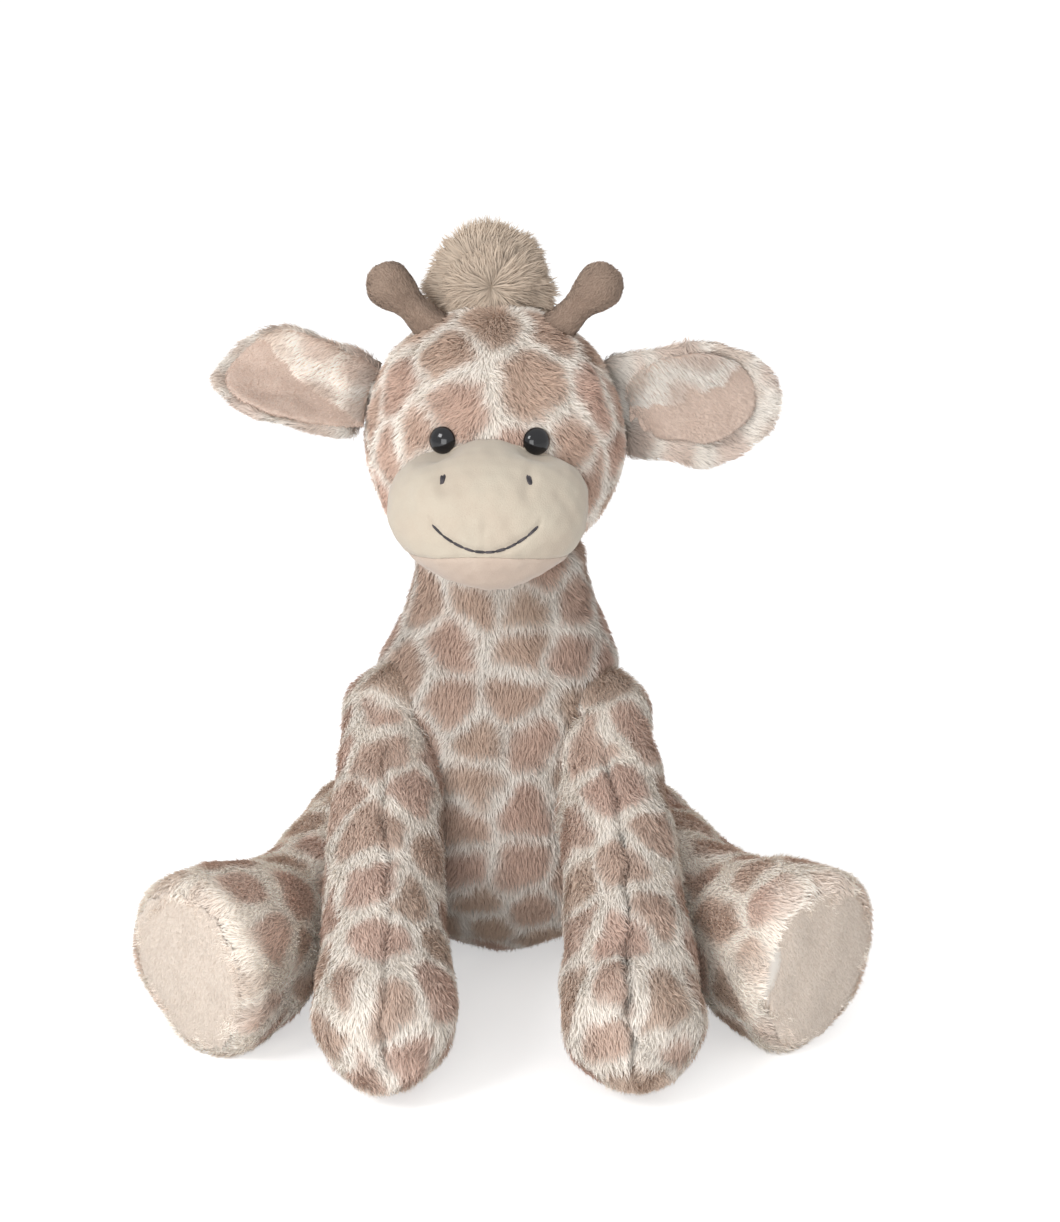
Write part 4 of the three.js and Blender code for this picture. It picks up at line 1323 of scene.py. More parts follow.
@dataclass
class FrontLeg(Limb):
    """A front leg that hangs from the shoulder to the floor, gathered along its front seam."""

    foot_across: float = 49.5
    bow: float = 4.0
    shoulder: Triple = (39.5, -15.0, 101.5)
    ball_radius: float = 21.0
    foot_back: float = -125.0
    foot_up: float = 26.5
    width: float = 45.0
    foot_width: float = 54.0
    toe: float = 25.0
    shares: Table = (
        (0, 0.8, 0), (0.13, 0.9, 0), (0.32, 0.96, 0), (0.54, 1.02, 0),
        (0.74, 1.02, 0.3), (0.9, 1, 0.85), (1, 1, 1),
    )
    toe_shares: Table = ((0.45, 0.86), (0.8, 0.56), (1, 0))
    seam_depth: float = 2.8
    seam_width: float = 1.25
    seam_start: tuple[float, float] = (0.12, 0.3)
    wander: float = 1.4
    wander_size: float = 9.0
    waver: float = 0.6
    waver_size: float = 2.3
    gather: float = 0.6
    gather_length: float = 5.0
    gather_drift: float = 1.3
    gather_drift_size: float = 13.0
    # How dark the painted shade in the seam's groove is
    seam_painted_shade: float = 1.0
    seam_pile: float = 0.55
    seam_swell: float = 0.9
    swell_spread: float = 4.5
    stuffing: Stuffing = Stuffing(voxel=1.3, passes=5, lump=0.8, lump_size=26.0)

    def joint(self) -> Joint:
        """The shoulder, about which the leg swings forward and up."""
        across, back, up = self.shoulder
        centre = np.array((self.sign * across, back, up))
        return Joint(centre, self.ball_radius, -X_AXIS, swing=45.0, steps=2, draw_in=3.0)

    def form(self) -> SoftForm:
        """The leg with its foot."""
        start = self.joint().centre
        foot = np.array((self.sign * self.foot_across, self.foot_back, self.foot_up))
        middle = (start + foot) / 2 + X_AXIS * self.sign * self.bow
        path = Path(start, foot, middle)
        length = path.length
        rings = [ring(-self.ball_radius / 2, 0)]
        for along, share, to_foot in self.shares:
            half = (self.width + (self.foot_width - self.width) * to_foot) / 2
            rings.append(ring(along * length, share * half))
        for beyond, share in self.toe_shares:
            rings.append(ring(length + beyond * self.toe, share * self.foot_width / 2))
        return SoftForm(path, X_AXIS, rings, columns=64)

    def build(self, torso: Torso) -> None:
        """Makes the cloth, with lumps and a gathered seam."""
        self.shape(torso)
        self.stuffing.fill(self.cloth, self.seed)
        push(self.cloth, self.seam_relief)
        rest_on_floor(self.cloth)

    def seam_relief(self, points: Array) -> Array:
        """The groove down the seam and the gathers that it pulls the plush into."""
        near = self.seam(points)
        beside = self.seam(points, self.swell_spread) - near
        run = points[:, 2] * 0.8 - points[:, 1] * 0.6
        uneven = self.gather_drift * ripple(points, self.gather_drift_size, self.seed + 8)
        gathers = np.sin(2 * math.pi * run / self.gather_length + uneven)
        return self.gather * gathers * beside + self.seam_swell * beside - self.seam_depth * near

    def seam(self, points: Array, spread: float = 1.0) -> Array:
        """How near points are to the seam down the leg's front, from 0 to 1.

        Args:
            points: Places on the leg.
            spread: Widens the strip that counts as near.

        Returns:
            Shares from 0 to 1.
        """
        path = self.form().path
        share, _ = path.run()
        spots = share[::5]
        nearest = np.linalg.norm(points[:, None] - path.at(spots)[None], axis=2).argmin(axis=1)
        away = points - path.at(spots)[nearest]
        up = points[:, 2]
        wander = self.wander * np.sin(up / self.wander_size + self.seed)
        wander = wander + self.waver * np.sin(up / self.waver_size) - self.sign
        front = smooth_step(away[:, 2] - away[:, 1] * 0.6, 2.0, 9.0)
        begins = smooth_step(spots[nearest], *self.seam_start)
        return hump(away[:, 0] - wander, self.seam_width * spread) * front * begins

    def crease(self, points: Array) -> Array:
        """Painted shade in the seam, in uneven tufts."""
        tufts = 0.45 + 0.55 * ripple(points, 8.0, self.seed + 6)
        return self.seam_painted_shade * np.clip(tufts, 0.1, 1.0) * self.seam(points, 1.1)

    def growth(self, points: Array) -> Array:
        """Shorter pile in the seam."""
        return 1 - (1 - self.seam_pile) * self.seam(points)


@dataclass
class HindLeg(Limb):
    """A hind leg that lies on the floor, with a flat velour sole."""

    splay: float = 31.3
    toe_out: float = 9.7
    roll: float = 18.0
    hip: Triple = (52.0, 12.0, 31.0)
    ball_radius: float = 30.5
    length: float = 121.9
    foot_up: float = 33.0
    width: float = 60.0
    ankle: float = 51.0
    foot_width: float = 66.0
    foot_height: float = 73.0
    egg: float = 0.14
    sole_rim: float = 4.0
    sole_crown: float = 5.0
    rim_pile: float = 0.6
    rim_band: tuple[float, float] = (-9.0, -1.0)
    fade: float = 0.6
    fade_length: float = 11.0
    fade_drift: float = 5.0
    shares: Table = (
        (0, 0.88, 0, 0, 0), (0.2, 0.95, 0.1, 0, 0), (0.42, 1, 0.7, 0, 0), (0.6, 1, 1, 0.15, 0.3),
        (0.78, 1, 1, 0.72, 0.7), (0.9, 1, 1, 0.97, 1), (1, 1, 1, 1, 1),
    )
    end_shares: Table = ((0.8, 0.9), (1.25, 0.72), (1.6, 0.42), (1.8, 0))
    stuffing: Stuffing = Stuffing(voxel=1.8, passes=4, lump=0.8, lump_size=30.0)
    sole_stuffing: Stuffing = Stuffing(voxel=1.1, passes=3, lump=0.35, lump_size=18.0)
    sole: Optional[Item] = None
    sole_way: Optional[Array] = None

    def joint(self) -> Joint:
        """The hip, about which the leg splays out along the floor."""
        across, back, up = self.hip
        centre = np.array((self.sign * across, back, up))
        return Joint(centre, self.ball_radius, Z_AXIS * self.sign, swing=35.0, steps=1)

    def pointing(self, degrees: float) -> Array:
        """The way out and forward along the floor at an angle from straight ahead."""
        angle = math.radians(degrees)
        return np.array((self.sign * math.sin(angle), -math.cos(angle), 0.0))

    def form(self) -> SoftForm:
        """The leg with its foot, ending in the crown of the sole."""
        start = self.joint().centre
        foot = start + self.pointing(self.splay) * self.length
        foot[2] = self.foot_up
        knee = foot - self.pointing(self.splay + self.toe_out) * self.length / 2
        path = Path(start, foot, knee)
        along = unit(foot - start)
        level = unit(np.cross(Z_AXIS, along))
        across = turn_matrix(along, -self.sign * self.roll) @ level
        run = path.length
        rings = [ring(-self.ball_radius / 2, 0)]
        for share, width, to_ankle, to_foot, egg in self.shares:
            slim = self.width + (self.ankle - self.width) * to_ankle
            wide = width * (slim + (self.foot_width - slim) * to_foot) / 2
            deep = width * (slim + (self.foot_height - slim) * to_foot) / 2
            rings.append(ring(share * run, wide, deep, egg=egg * self.egg))
        for beyond, share in self.end_shares:
            wide, deep = share * self.foot_width / 2, share * self.foot_height / 2
            rings.append(ring(run + beyond * self.sole_crown, wide, deep, egg=self.egg))
        return SoftForm(path, across, rings, columns=72)

    def build(self, torso: Torso, front_leg: FrontLeg) -> None:
        """Makes the cloth, cut flat where the sole is sewn on, and the sole."""
        self.shape(torso, [front_leg.form()])
        form = self.form()
        tip = form.path.at(np.array(1.0))
        self.sole_way = way = form.path.slope(np.array(1.0))
        face = tip + way * (self.sole_rim - SEAM_GAP)
        cut(self.cloth, slab(face, way))
        self.stuffing.fill(self.cloth, self.seed)
        rest_on_floor(self.cloth)
        self.sole = form.drawn_in(1.0).build(f"{self.name}_sole")
        cut(self.sole, slab(tip + way * (self.sole_rim - SEAM_GAP + 0.1), -way))
        self.sole_stuffing.fill(self.sole, self.seed + 3)

    def past_tip(self, points: Array) -> Array:
        """How far points lie past the foot's last full ring."""
        return (points - self.form().path.at(np.array(1.0))) @ self.sole_way

    def growth(self, points: Array) -> Array:
        """Longer pile round the sole, and none on the end that it covers."""
        past = self.past_tip(points)
        longer = 1 + self.rim_pile * smooth_step(past, *self.rim_band)
        return longer * (1 - smooth_step(past, self.sole_rim - 1.2, self.sole_rim + 0.1))

    def paleness(self, points: Array) -> Array:
        """The print fades out towards the sole."""
        past = self.past_tip(points) + self.fade_drift * ripple(points, 19.0, self.seed + 2)
        return self.fade * smooth_step(past, -self.fade_length, 0.0)

    def dress(self, workshop: Workshop, neighbours: Sequence[BVHTree]) -> None:
        """Dresses the leg and its sole."""
        super().dress(workshop, neighbours)
        finish_piece(self.sole, workshop.sole, self.body, [f"sole_{self.side}"])
        plain_print(self.sole)
        covered = smooth_step(normals_of(self.sole) @ self.sole_way, -0.2, 0.2)
        comb(self.sole, covered, np.tile(-Z_AXIS, (len(covered), 1)))
        name = f"{self.name}_sole_nap"
        workshop.short_nap.grow(workshop, self.sole, name, workshop.sole_nap, self.body, self.seed)
        forget(self.sole)


@dataclass
class Head(Stuffed):
    """The round head, a ball that turns in the dish at the top of the neck."""

    stretch: float = 1.03
    steps: int = 24
    bridge: Triple = (0.0, -46.0, 16.0)
    bridge_share: float = 0.35
    crown: Triple = (0.0, -8.0, 52.0)
    crown_share: float = 0.8
    stuffing: Stuffing = Stuffing(voxel=1.7, passes=2, lump=0.5, lump_size=36.0)

    def form(self) -> SoftForm:
        """The head's outer form."""
        rings = []
        for step in range(self.steps + 1):
            angle = math.pi * (step / self.steps - 0.5)
            up = math.sin(angle) * (self.stretch if angle > 0 else 1)
            radius = 0.0 if step in (0, self.steps) else HEAD_RADIUS * math.cos(angle)
            rings.append(ring(HEAD_RADIUS * (1 + up), radius))
        foot = HEAD_CENTRE - Z_AXIS * HEAD_RADIUS
        return SoftForm(Path(foot, HEAD_CENTRE + Z_AXIS * HEAD_RADIUS), X_AXIS, rings, columns=96)

    def build(self) -> None:
        """Makes the cloth."""
        self.cloth = self.form().drawn_in(PLUSH_DEPTH).build("head_cloth")
        self.stuffing.fill(self.cloth, self.seed)
        turn_head(self.cloth)

    def lay(self, points: Array) -> Array:
        """Brushed down from the crown, and away from the bridge of the nose."""
        from_crown = unit(points - (HEAD_CENTRE + np.array(self.crown)))
        from_bridge = unit(points - (HEAD_CENTRE + np.array(self.bridge)))
        before = smooth_step(HEAD_CENTRE[1] - points[:, 1], 5.0, 35.0)[:, None]
        return from_crown * self.crown_share + from_bridge * self.bridge_share * before


@dataclass
class Muzzle:
    """The blunt velour muzzle and its chin, with the mouth and nostrils sewn on."""

    seed: int = 91
    lump: float = 0.45
    lump_size: float = 22.0
    dimple: float = 0.15
    dimple_size: float = 7.0
    below: float = 12.5
    drop: float = 2.0
    reach: float = 32.0
    inset: float = 16.0
    width: float = 72.0
    height: float = 52.0
    egg: float = 0.1
    seam_up: float = 187.0
    seam_fall: float = 5.0
    seam_half: float = 30.0
    parting: float = 0.06
    mouth_width: float = 37.0
    mouth_up: float = 189.0
    mouth_rise: float = 9.0
    stitches: int = 10
    thread_width: float = 1.25
    overlap: float = 1.08
    eye_dent: float = 3.8
    eye_reach: float = 7.5
    eye_place: Triple = (17.5, -53.0, 217.5)
    front_back: tuple[float, float] = (58.0, 66.0)
    mouth_dip: float = 0.9
    mouth_dip_width: float = 1.6
    seam_dip: float = 0.45
    seam_dip_width: float = 1.1
    seam_dip_band: tuple[float, ...] = (189.0, 191.0, 196.0, 206.0)
    nostril_dip: float = 1.1
    nostril_dip_width: float = 2.4
    groove: float = 0.5
    groove_width: float = 1.0
    nostril_across: float = 15.2
    nostril_up: float = 212.3
    nostril_height: float = 4.6
    nostril_width: float = 2.6
    outer_shorter: float = 0.18
    fill: float = 0.8
    shares: Table = (
        (0, 0, 0), (0.08, 0.55, 0.55), (0.27, 0.86, 0.82), (0.42, 0.985, 0.965), (0.58, 1, 1),
        (0.74, 0.93, 0.93), (0.87, 0.75, 0.75), (0.96, 0.46, 0.46), (1, 0, 0),
    )
    panel: Optional[Item] = None
    chin: Optional[Item] = None
    tree: Optional[BVHTree] = None

    def form(self) -> SoftForm:
        """The muzzle's outer form."""
        up = HEAD_CENTRE[2] - self.below
        root = np.array((0.0, HEAD_CENTRE[1] - self.inset, up))
        tip = np.array((0.0, HEAD_CENTRE[1] - HEAD_RADIUS - self.reach, up - self.drop))
        path = Path(root, tip)
        rings = [
            ring(along * path.length, wide * self.width / 2, tall * self.height / 2, egg=self.egg)
            for along, wide, tall in self.shares
        ]
        return SoftForm(path, X_AXIS, rings, columns=96, step=1.2)

    def seam(self, points: Array) -> Array:
        """The height above the seam between muzzle and chin."""
        return points[:, 2] - self.seam_up + self.seam_fall * (points[:, 0] / self.seam_half) ** 2

    def relief(self, points: Array) -> Array:
        """How the seams and the stitching draw the velour in.

        Args:
            points: Places on the muzzle.

        Returns:
            Distances along the velour's normal.
        """
        x, z = points[:, 0], points[:, 2]
        front = smooth_step(-points[:, 1], *self.front_back)
        in_mouth = np.abs(x) < self.mouth_width / 2 + 1.5
        dips = self.mouth_dip * hump(z - self.mouth_line(x), self.mouth_dip_width) * in_mouth
        dips = dips + self.seam_dip * hump(x, self.seam_dip_width) * band(z, *self.seam_dip_band)
        groove = self.groove * hump(self.seam(points), self.groove_width)
        for _, sign in SIDES:
            away = np.hypot(x - sign * self.nostril_across, (z - self.nostril_up) * 0.6)
            dips = dips + self.nostril_dip * hump(away, self.nostril_dip_width)
            eye = np.array(self.eye_place) * (sign, 1, 1)
            groove = groove + self.eye_dent * hump(np.linalg.norm(points - eye, axis=1), self.eye_reach)
        lumps = self.lump * ripple(points, self.lump_size, self.seed)
        lumps = lumps + self.dimple * ripple(points, self.dimple_size, self.seed + 1)
        return lumps - dips * front - groove

    def mouth_line(self, across: Array) -> Array:
        """The mouth's height across the muzzle."""
        return self.mouth_up + self.mouth_rise * (2 * across / self.mouth_width) ** 2

    def build(self) -> None:
        """Makes the two panels, parted along their seam."""
        self.panel = self.form().build("muzzle")
        cut(self.panel, ball(HEAD_CENTRE, HEAD_SOCKET - SEAM_GAP / 2, 72))
        round_off(self.panel, voxel=0.9, passes=3)
        push(self.panel, self.relief)
        self.tree = surface_tree(self.panel)
        self.chin = copy_of(self.panel)
        self.panel.name = "muzzle_cloth"
        self.chin.name = "chin_cloth"
        cut(self.panel, self.wedge(self.parting, False))
        cut(self.chin, self.wedge(-self.parting, True))

    def wedge(self, lift: float, upper: bool) -> Item:
        """A block whose curved face runs along the seam.

        Args:
            lift: How far above the seam the face lies.
            upper: True for the block above the seam.

        Returns:
            The block.
        """
        steps = np.linspace(-60, 60, 41)
        edge = self.seam_up + lift - self.seam_fall * (steps / self.seam_half) ** 2
        far = np.full(len(steps), 300.0 if upper else 60.0)
        top, bottom = (far, edge) if upper else (edge, far)
        outline = np.vstack((np.stack((steps, bottom), 1), np.stack((steps[::-1], top[::-1]), 1)))
        front = np.insert(outline, 1, -140.0, axis=1)
        back = np.insert(outline, 1, 60.0, axis=1)
        count = len(outline)
        half = len(steps)
        faces: list[Sequence[int]] = []
        for k in range(half - 1):
            quad = (k, k + 1, count - 2 - k, count - 1 - k)
            faces.append(quad)
            faces.append(tuple(count + i for i in reversed(quad)))
        for k in range(count):
            after = (k + 1) % count
            faces.append((after, k, count + k, count + after))
        return new_object("wedge", np.vstack((front, back)), faces)

    def on_surface(self, across: float, up: float) -> tuple[Array, Array]:
        """The point of the muzzle's front straight ahead of a place, and its normal."""
        found, normal, _, _ = self.tree.ray_cast((across, -200.0, up), (0.0, 1.0, 0.0))
        return np.array(found), np.array(normal)

    def mouth(self) -> "Thread":
        """The mouth's stitches, end to end along its line."""
        thread = Thread("mouth_stitches")
        spots = []
        for step in range(self.stitches + 1):
            across = (step / self.stitches - 0.5) * self.mouth_width
            spots.append(self.on_surface(across, float(self.mouth_line(np.array(across)))))
        for (start, first_up), (end, second_up) in zip(spots, spots[1:]):
            length = float(np.linalg.norm(end - start)) * self.overlap
            up = unit(first_up + second_up)
            thread.add((start + end) / 2, unit(end - start), up, length, self.thread_width)
        return thread

    def nostril(self, side: str, sign: int) -> "Thread":
        """A nostril, three upright stitches side by side."""
        thread = Thread(f"nostril_stitches_{side}")
        for strand in (-1, 0, 1):
            across = sign * self.nostril_across + strand * self.nostril_width / 7
            point, normal = self.on_surface(across, self.nostril_up)
            way = unit(Z_AXIS - normal * normal[2])
            length = self.nostril_height * (1 - self.outer_shorter * abs(strand))
            thread.add(point, way, normal, length, self.nostril_width / 2.2)
        return thread

    def dress(self, workshop: "Workshop") -> None:
        """Finishes the panels and sews the mouth and nostrils on.

        Args:
            workshop: The shared finishes.
        """
        rows = {"mouth_stitch": self.mouth()}
        rows |= {f"nostril_{side}": self.nostril(side, sign) for side, sign in SIDES}
        for node, thread in rows.items():
            finish_piece(turn_head(thread.sew(workshop)), workshop.thread, "head", [node])
        finish_piece(turn_head(self.panel), workshop.muzzle, "head", ["muzzle_panel"])
        finish_piece(turn_head(self.chin), workshop.chin, "head", ["chin_panel"])


@dataclass
class Thread:
    """Rows of sewn thread, one spindle for each stitch."""

    name: str
    points: list[Array] = field(default_factory=list)
    ways: list[Array] = field(default_factory=list)
    ups: list[Array] = field(default_factory=list)
    sizes: list[Array] = field(default_factory=list)
    sink: float = 0.05

    def add(self, point: Array, way: Array, up: Array, length: float, width: float) -> None:
        """Adds one stitch.

        Args:
            point: Its middle.
            way: The way it runs.
            up: The cloth's normal there.
            length: Its length.
            width: Its thickness.
        """
        self.points.append(point)
        self.ways.append(way)
        self.ups.append(up)
        self.sizes.append(np.array((length, width, width)))

    def sew(self, workshop: "Workshop") -> Item:
        """Makes the stitches as one mesh."""
        rows = new_object(self.name, np.array(self.points), [])
        store(rows, "way", np.array(self.ways))
        store(rows, "up", np.array(self.ups))
        store(rows, "size", np.array(self.sizes) * MM)
        given = {"Stitch": workshop.stitch, "Finish": workshop.thread.material, "Sink": self.sink}
        return run_tree(rows, workshop.stitch_tree, given)


def stitch_mesh() -> Item:
    """One stitch, a spindle one unit long and one thick."""
    shares = ((-0.5, 0), (-0.46, 0.5), (-0.3, 0.92), (0, 1), (0.3, 0.92), (0.46, 0.5), (0.5, 0))
    rings = [ring(along + 0.5, wide / 2) for along, wide in shares]
    path = Path(np.array((-0.5, 0.0, 0.0)), np.array((0.5, 0.0, 0.0)))
    made = SoftForm(path, Y_AXIS, rings, columns=8, step=1.0).build("stitch")
    set_points(made, points_of(made) / MM)
    return made


def stitch_tree() -> bpy.types.NodeTree:
    """The node tree that sews a stitch at every point, along its way and on its cloth."""
    sockets = {"Rows": "Geometry", "Stitch": "Object", "Finish": "Material", "Sink": "Float"}
    tree, nodes, given = new_tree("stitches", sockets)
    way, up, size = (nodes.stored(name) for name in ("way", "up", "size"))
    sewn = nodes.add(
        "GeometryNodeInstanceOnPoints",
        {
            "Points": nodes.add("GeometryNodeMeshToPoints", {"Mesh": given["Rows"]}).outputs[0],
            "Instance": nodes.add("GeometryNodeObjectInfo", {"Object": given["Stitch"]}).outputs["Geometry"],
            "Rotation": nodes.aimed("X", way, "Z", up), "Scale": size,
        },
    )
    lowered = nodes.scaled(up, nodes.math("MULTIPLY", given["Sink"], -MM))
    inputs = {0: sewn.outputs[0], "Translation": lowered, "Local Space": False}
    sewn = nodes.add("GeometryNodeTranslateInstances", inputs)
    grown = nodes.add("GeometryNodeRealizeInstances", {"Geometry": sewn.outputs[0]})
    dressed = nodes.add("GeometryNodeSetMaterial", {0: grown.outputs[0], "Material": given["Finish"]})
    nodes.add("NodeGroupOutput", {0: dressed.outputs[0]})
    return tree


def turn_head(item: Item) -> Item:
    """Turns a piece of the head a little to its right, as the head is sewn on."""
    return turned(item, HEAD_CENTRE, Z_AXIS, HEAD_TURN)


@dataclass
class Eye:
    """A safety eye: a domed black button on a shank."""

    side: str
    sign: int
    across: float = 17.2
    rise: float = 11.5
    seat: float = 49.1
    shank: float = 1.5
    shank_length: float = 9.0
    shank_end: float = 0.3
    profile: Table = (
        (-2.0, 0), (-1.7, 3.4), (-0.8, 4.7), (0.0, 5.0), (0.9, 4.85),
        (1.9, 4.15), (2.8, 2.9), (3.25, 1.5), (3.4, 0),
    )
    button: Optional[Item] = None

    def axis(self) -> Array:
        """The way that the eye looks, out of the head's centre."""
        fore = math.sqrt(HEAD_RADIUS**2 - self.across**2 - self.rise**2)
        return unit(np.array((self.sign * self.across, -fore, self.rise)))

    def build(self) -> None:
        """Makes the button and its shank."""
        axis = self.axis()
        foot = HEAD_CENTRE + axis * self.seat
        low, high = self.profile[0][0], self.profile[-1][0]
        rings = [ring(along - low, wide) for along, wide in self.profile]
        path = Path(foot + axis * low, foot + axis * high)
        button = SoftForm(path, Z_AXIS, rings, columns=48, step=0.35).build(f"eye_button_{self.side}")
        long, end = self.shank_length, self.shank_end
        rings = [ring(0, 0), ring(end, self.shank), ring(long, self.shank), ring(long + end, 0)]
        path = Path(foot - axis * (long + end), foot)
        shank = SoftForm(path, Z_AXIS, rings, columns=16, step=3.0).build("shank")
        combine(button, [shank], Joinery.JOIN)
        self.button = turn_head(button)

    def dress(self, workshop: Workshop) -> None:
        """Finishes the button."""
        finish_piece(self.button, workshop.eye, "head", [f"eye_{self.side}"])


@dataclass
class Horn(Stuffed):
    """A horn, a waisted velour stem with a round knob."""

    sign: int = 1
    sink: float = 7.5
    length: float = 27.6
    root_angle: float = 26.6
    lean_angle: float = 45.0
    stem: float = 12.6
    knob: float = 18.6
    stem_shares: Table = ((0, 1.2), (0.35, 1.08), (0.62, 1))
    knob_shares: Table = ((-0.33, 0.93), (0.25, 1), (0.75, 0.68), (1, 0))
    draw_in: float = 0.7
    stuffing: Stuffing = Stuffing(voxel=0.8, passes=3, lump=0.3, lump_size=11.0)

    def leaning(self, degrees: float) -> Array:
        """The way out to the side at an angle from upright."""
        angle = math.radians(degrees)
        return np.array((self.sign * math.sin(angle), 0.0, math.cos(angle)))

    def build(self) -> None:
        """Makes the cloth."""
        root = HEAD_CENTRE + self.leaning(self.root_angle) * (HEAD_RADIUS - self.sink)
        tip = root + self.leaning(self.lean_angle) * self.length
        rings = [ring(-self.stem / 2, 0)]
        rings += [ring(share * self.length, wide * self.stem / 2) for share, wide in self.stem_shares]
        rings += [
            ring(self.length + beyond * self.knob / 2, wide * self.knob / 2)
            for beyond, wide in self.knob_shares
        ]
        form = SoftForm(Path(root, tip), Y_AXIS, rings, columns=48, step=1.0, inset=self.draw_in)
        self.cloth = form.build(f"{self.name}_cloth")
        cut(self.cloth, ball(HEAD_CENTRE, HEAD_SOCKET))
        self.stuffing.fill(self.cloth, self.seed)
        turn_head(self.cloth)

    def lay(self, points: Array) -> Array:
        """Brushed towards the knob."""
        return np.tile(self.leaning(self.lean_angle), (len(points), 1))

    def dress(self, workshop: Workshop, neighbours: Sequence[BVHTree]) -> None:
        """Finishes the horn in velour with a short nap."""
        self.brush(neighbours)
        plain_print(self.cloth)
        finish_piece(self.cloth, workshop.horn, self.body, self.replaces)
        name = f"{self.name}_nap"
        self.pile.grow(workshop, self.cloth, name, workshop.horn_nap, self.body, self.seed)
        forget(self.cloth)


@dataclass
class Topknot(Stuffed):
    """The tuft of long pile on the crown, which springs from one spot above the brow."""

    centre: Triple = (-2.4, 15.0, 260.0)
    size: Triple = (48.0, 42.0, 50.0)
    core_inset: float = 5.2
    spring: Triple = (-1.0, -10.0, 268.0)
    fringe: float = 0.55
    stuffing: Stuffing = Stuffing(voxel=1.3, passes=3, lump=1.0, lump_size=15.0)

    def build(self) -> None:
        """Makes the core that the long pile grows on."""
        radii = np.array(self.size) / 2 - self.core_inset
        self.cloth = ball(np.array(self.centre), radii, 64)
        self.cloth.name = self.cloth.data.name = "topknot_cloth"
        cut(self.cloth, ball(HEAD_CENTRE, HEAD_SOCKET))
        self.stuffing.fill(self.cloth, self.seed)
        turn_head(self.cloth)

    def lay(self, points: Array) -> Array:
        """Brushed away from the spot that it springs from, and down at the back."""
        outward = unit(points - np.array(self.centre))
        away = unit(along_cloth(points - np.array(self.spring), outward))
        behind = smooth_step(points[:, 1], self.centre[1] - 6.0, self.centre[1] + 12.0)[:, None]
        return away * (1 - 0.8 * behind) - 1.1 * Z_AXIS * behind

    def growth(self, points: Array) -> Array:
        """Shorter in the front fringe."""
        away = np.linalg.norm(points - np.array(self.spring), axis=1)
        return self.fringe + (1 - self.fringe) * smooth_step(away, 2.0, 20.0)

    def dress(self, workshop: Workshop, neighbours: Sequence[BVHTree]) -> None:
        """Grows the long pile."""
        plain_print(self.cloth)
        self.brush(neighbours)
        finish_piece(self.cloth, workshop.long_cloth, self.body, self.replaces)
        for coat in range(self.coats):
            name = f"{self.name}_pile_{coat + 1}"
            self.pile.grow(workshop, self.cloth, name, workshop.long_pile, self.body, self.seed + coat)
        forget(self.cloth)
        store_evenly(self.cloth, **MIDDLING)


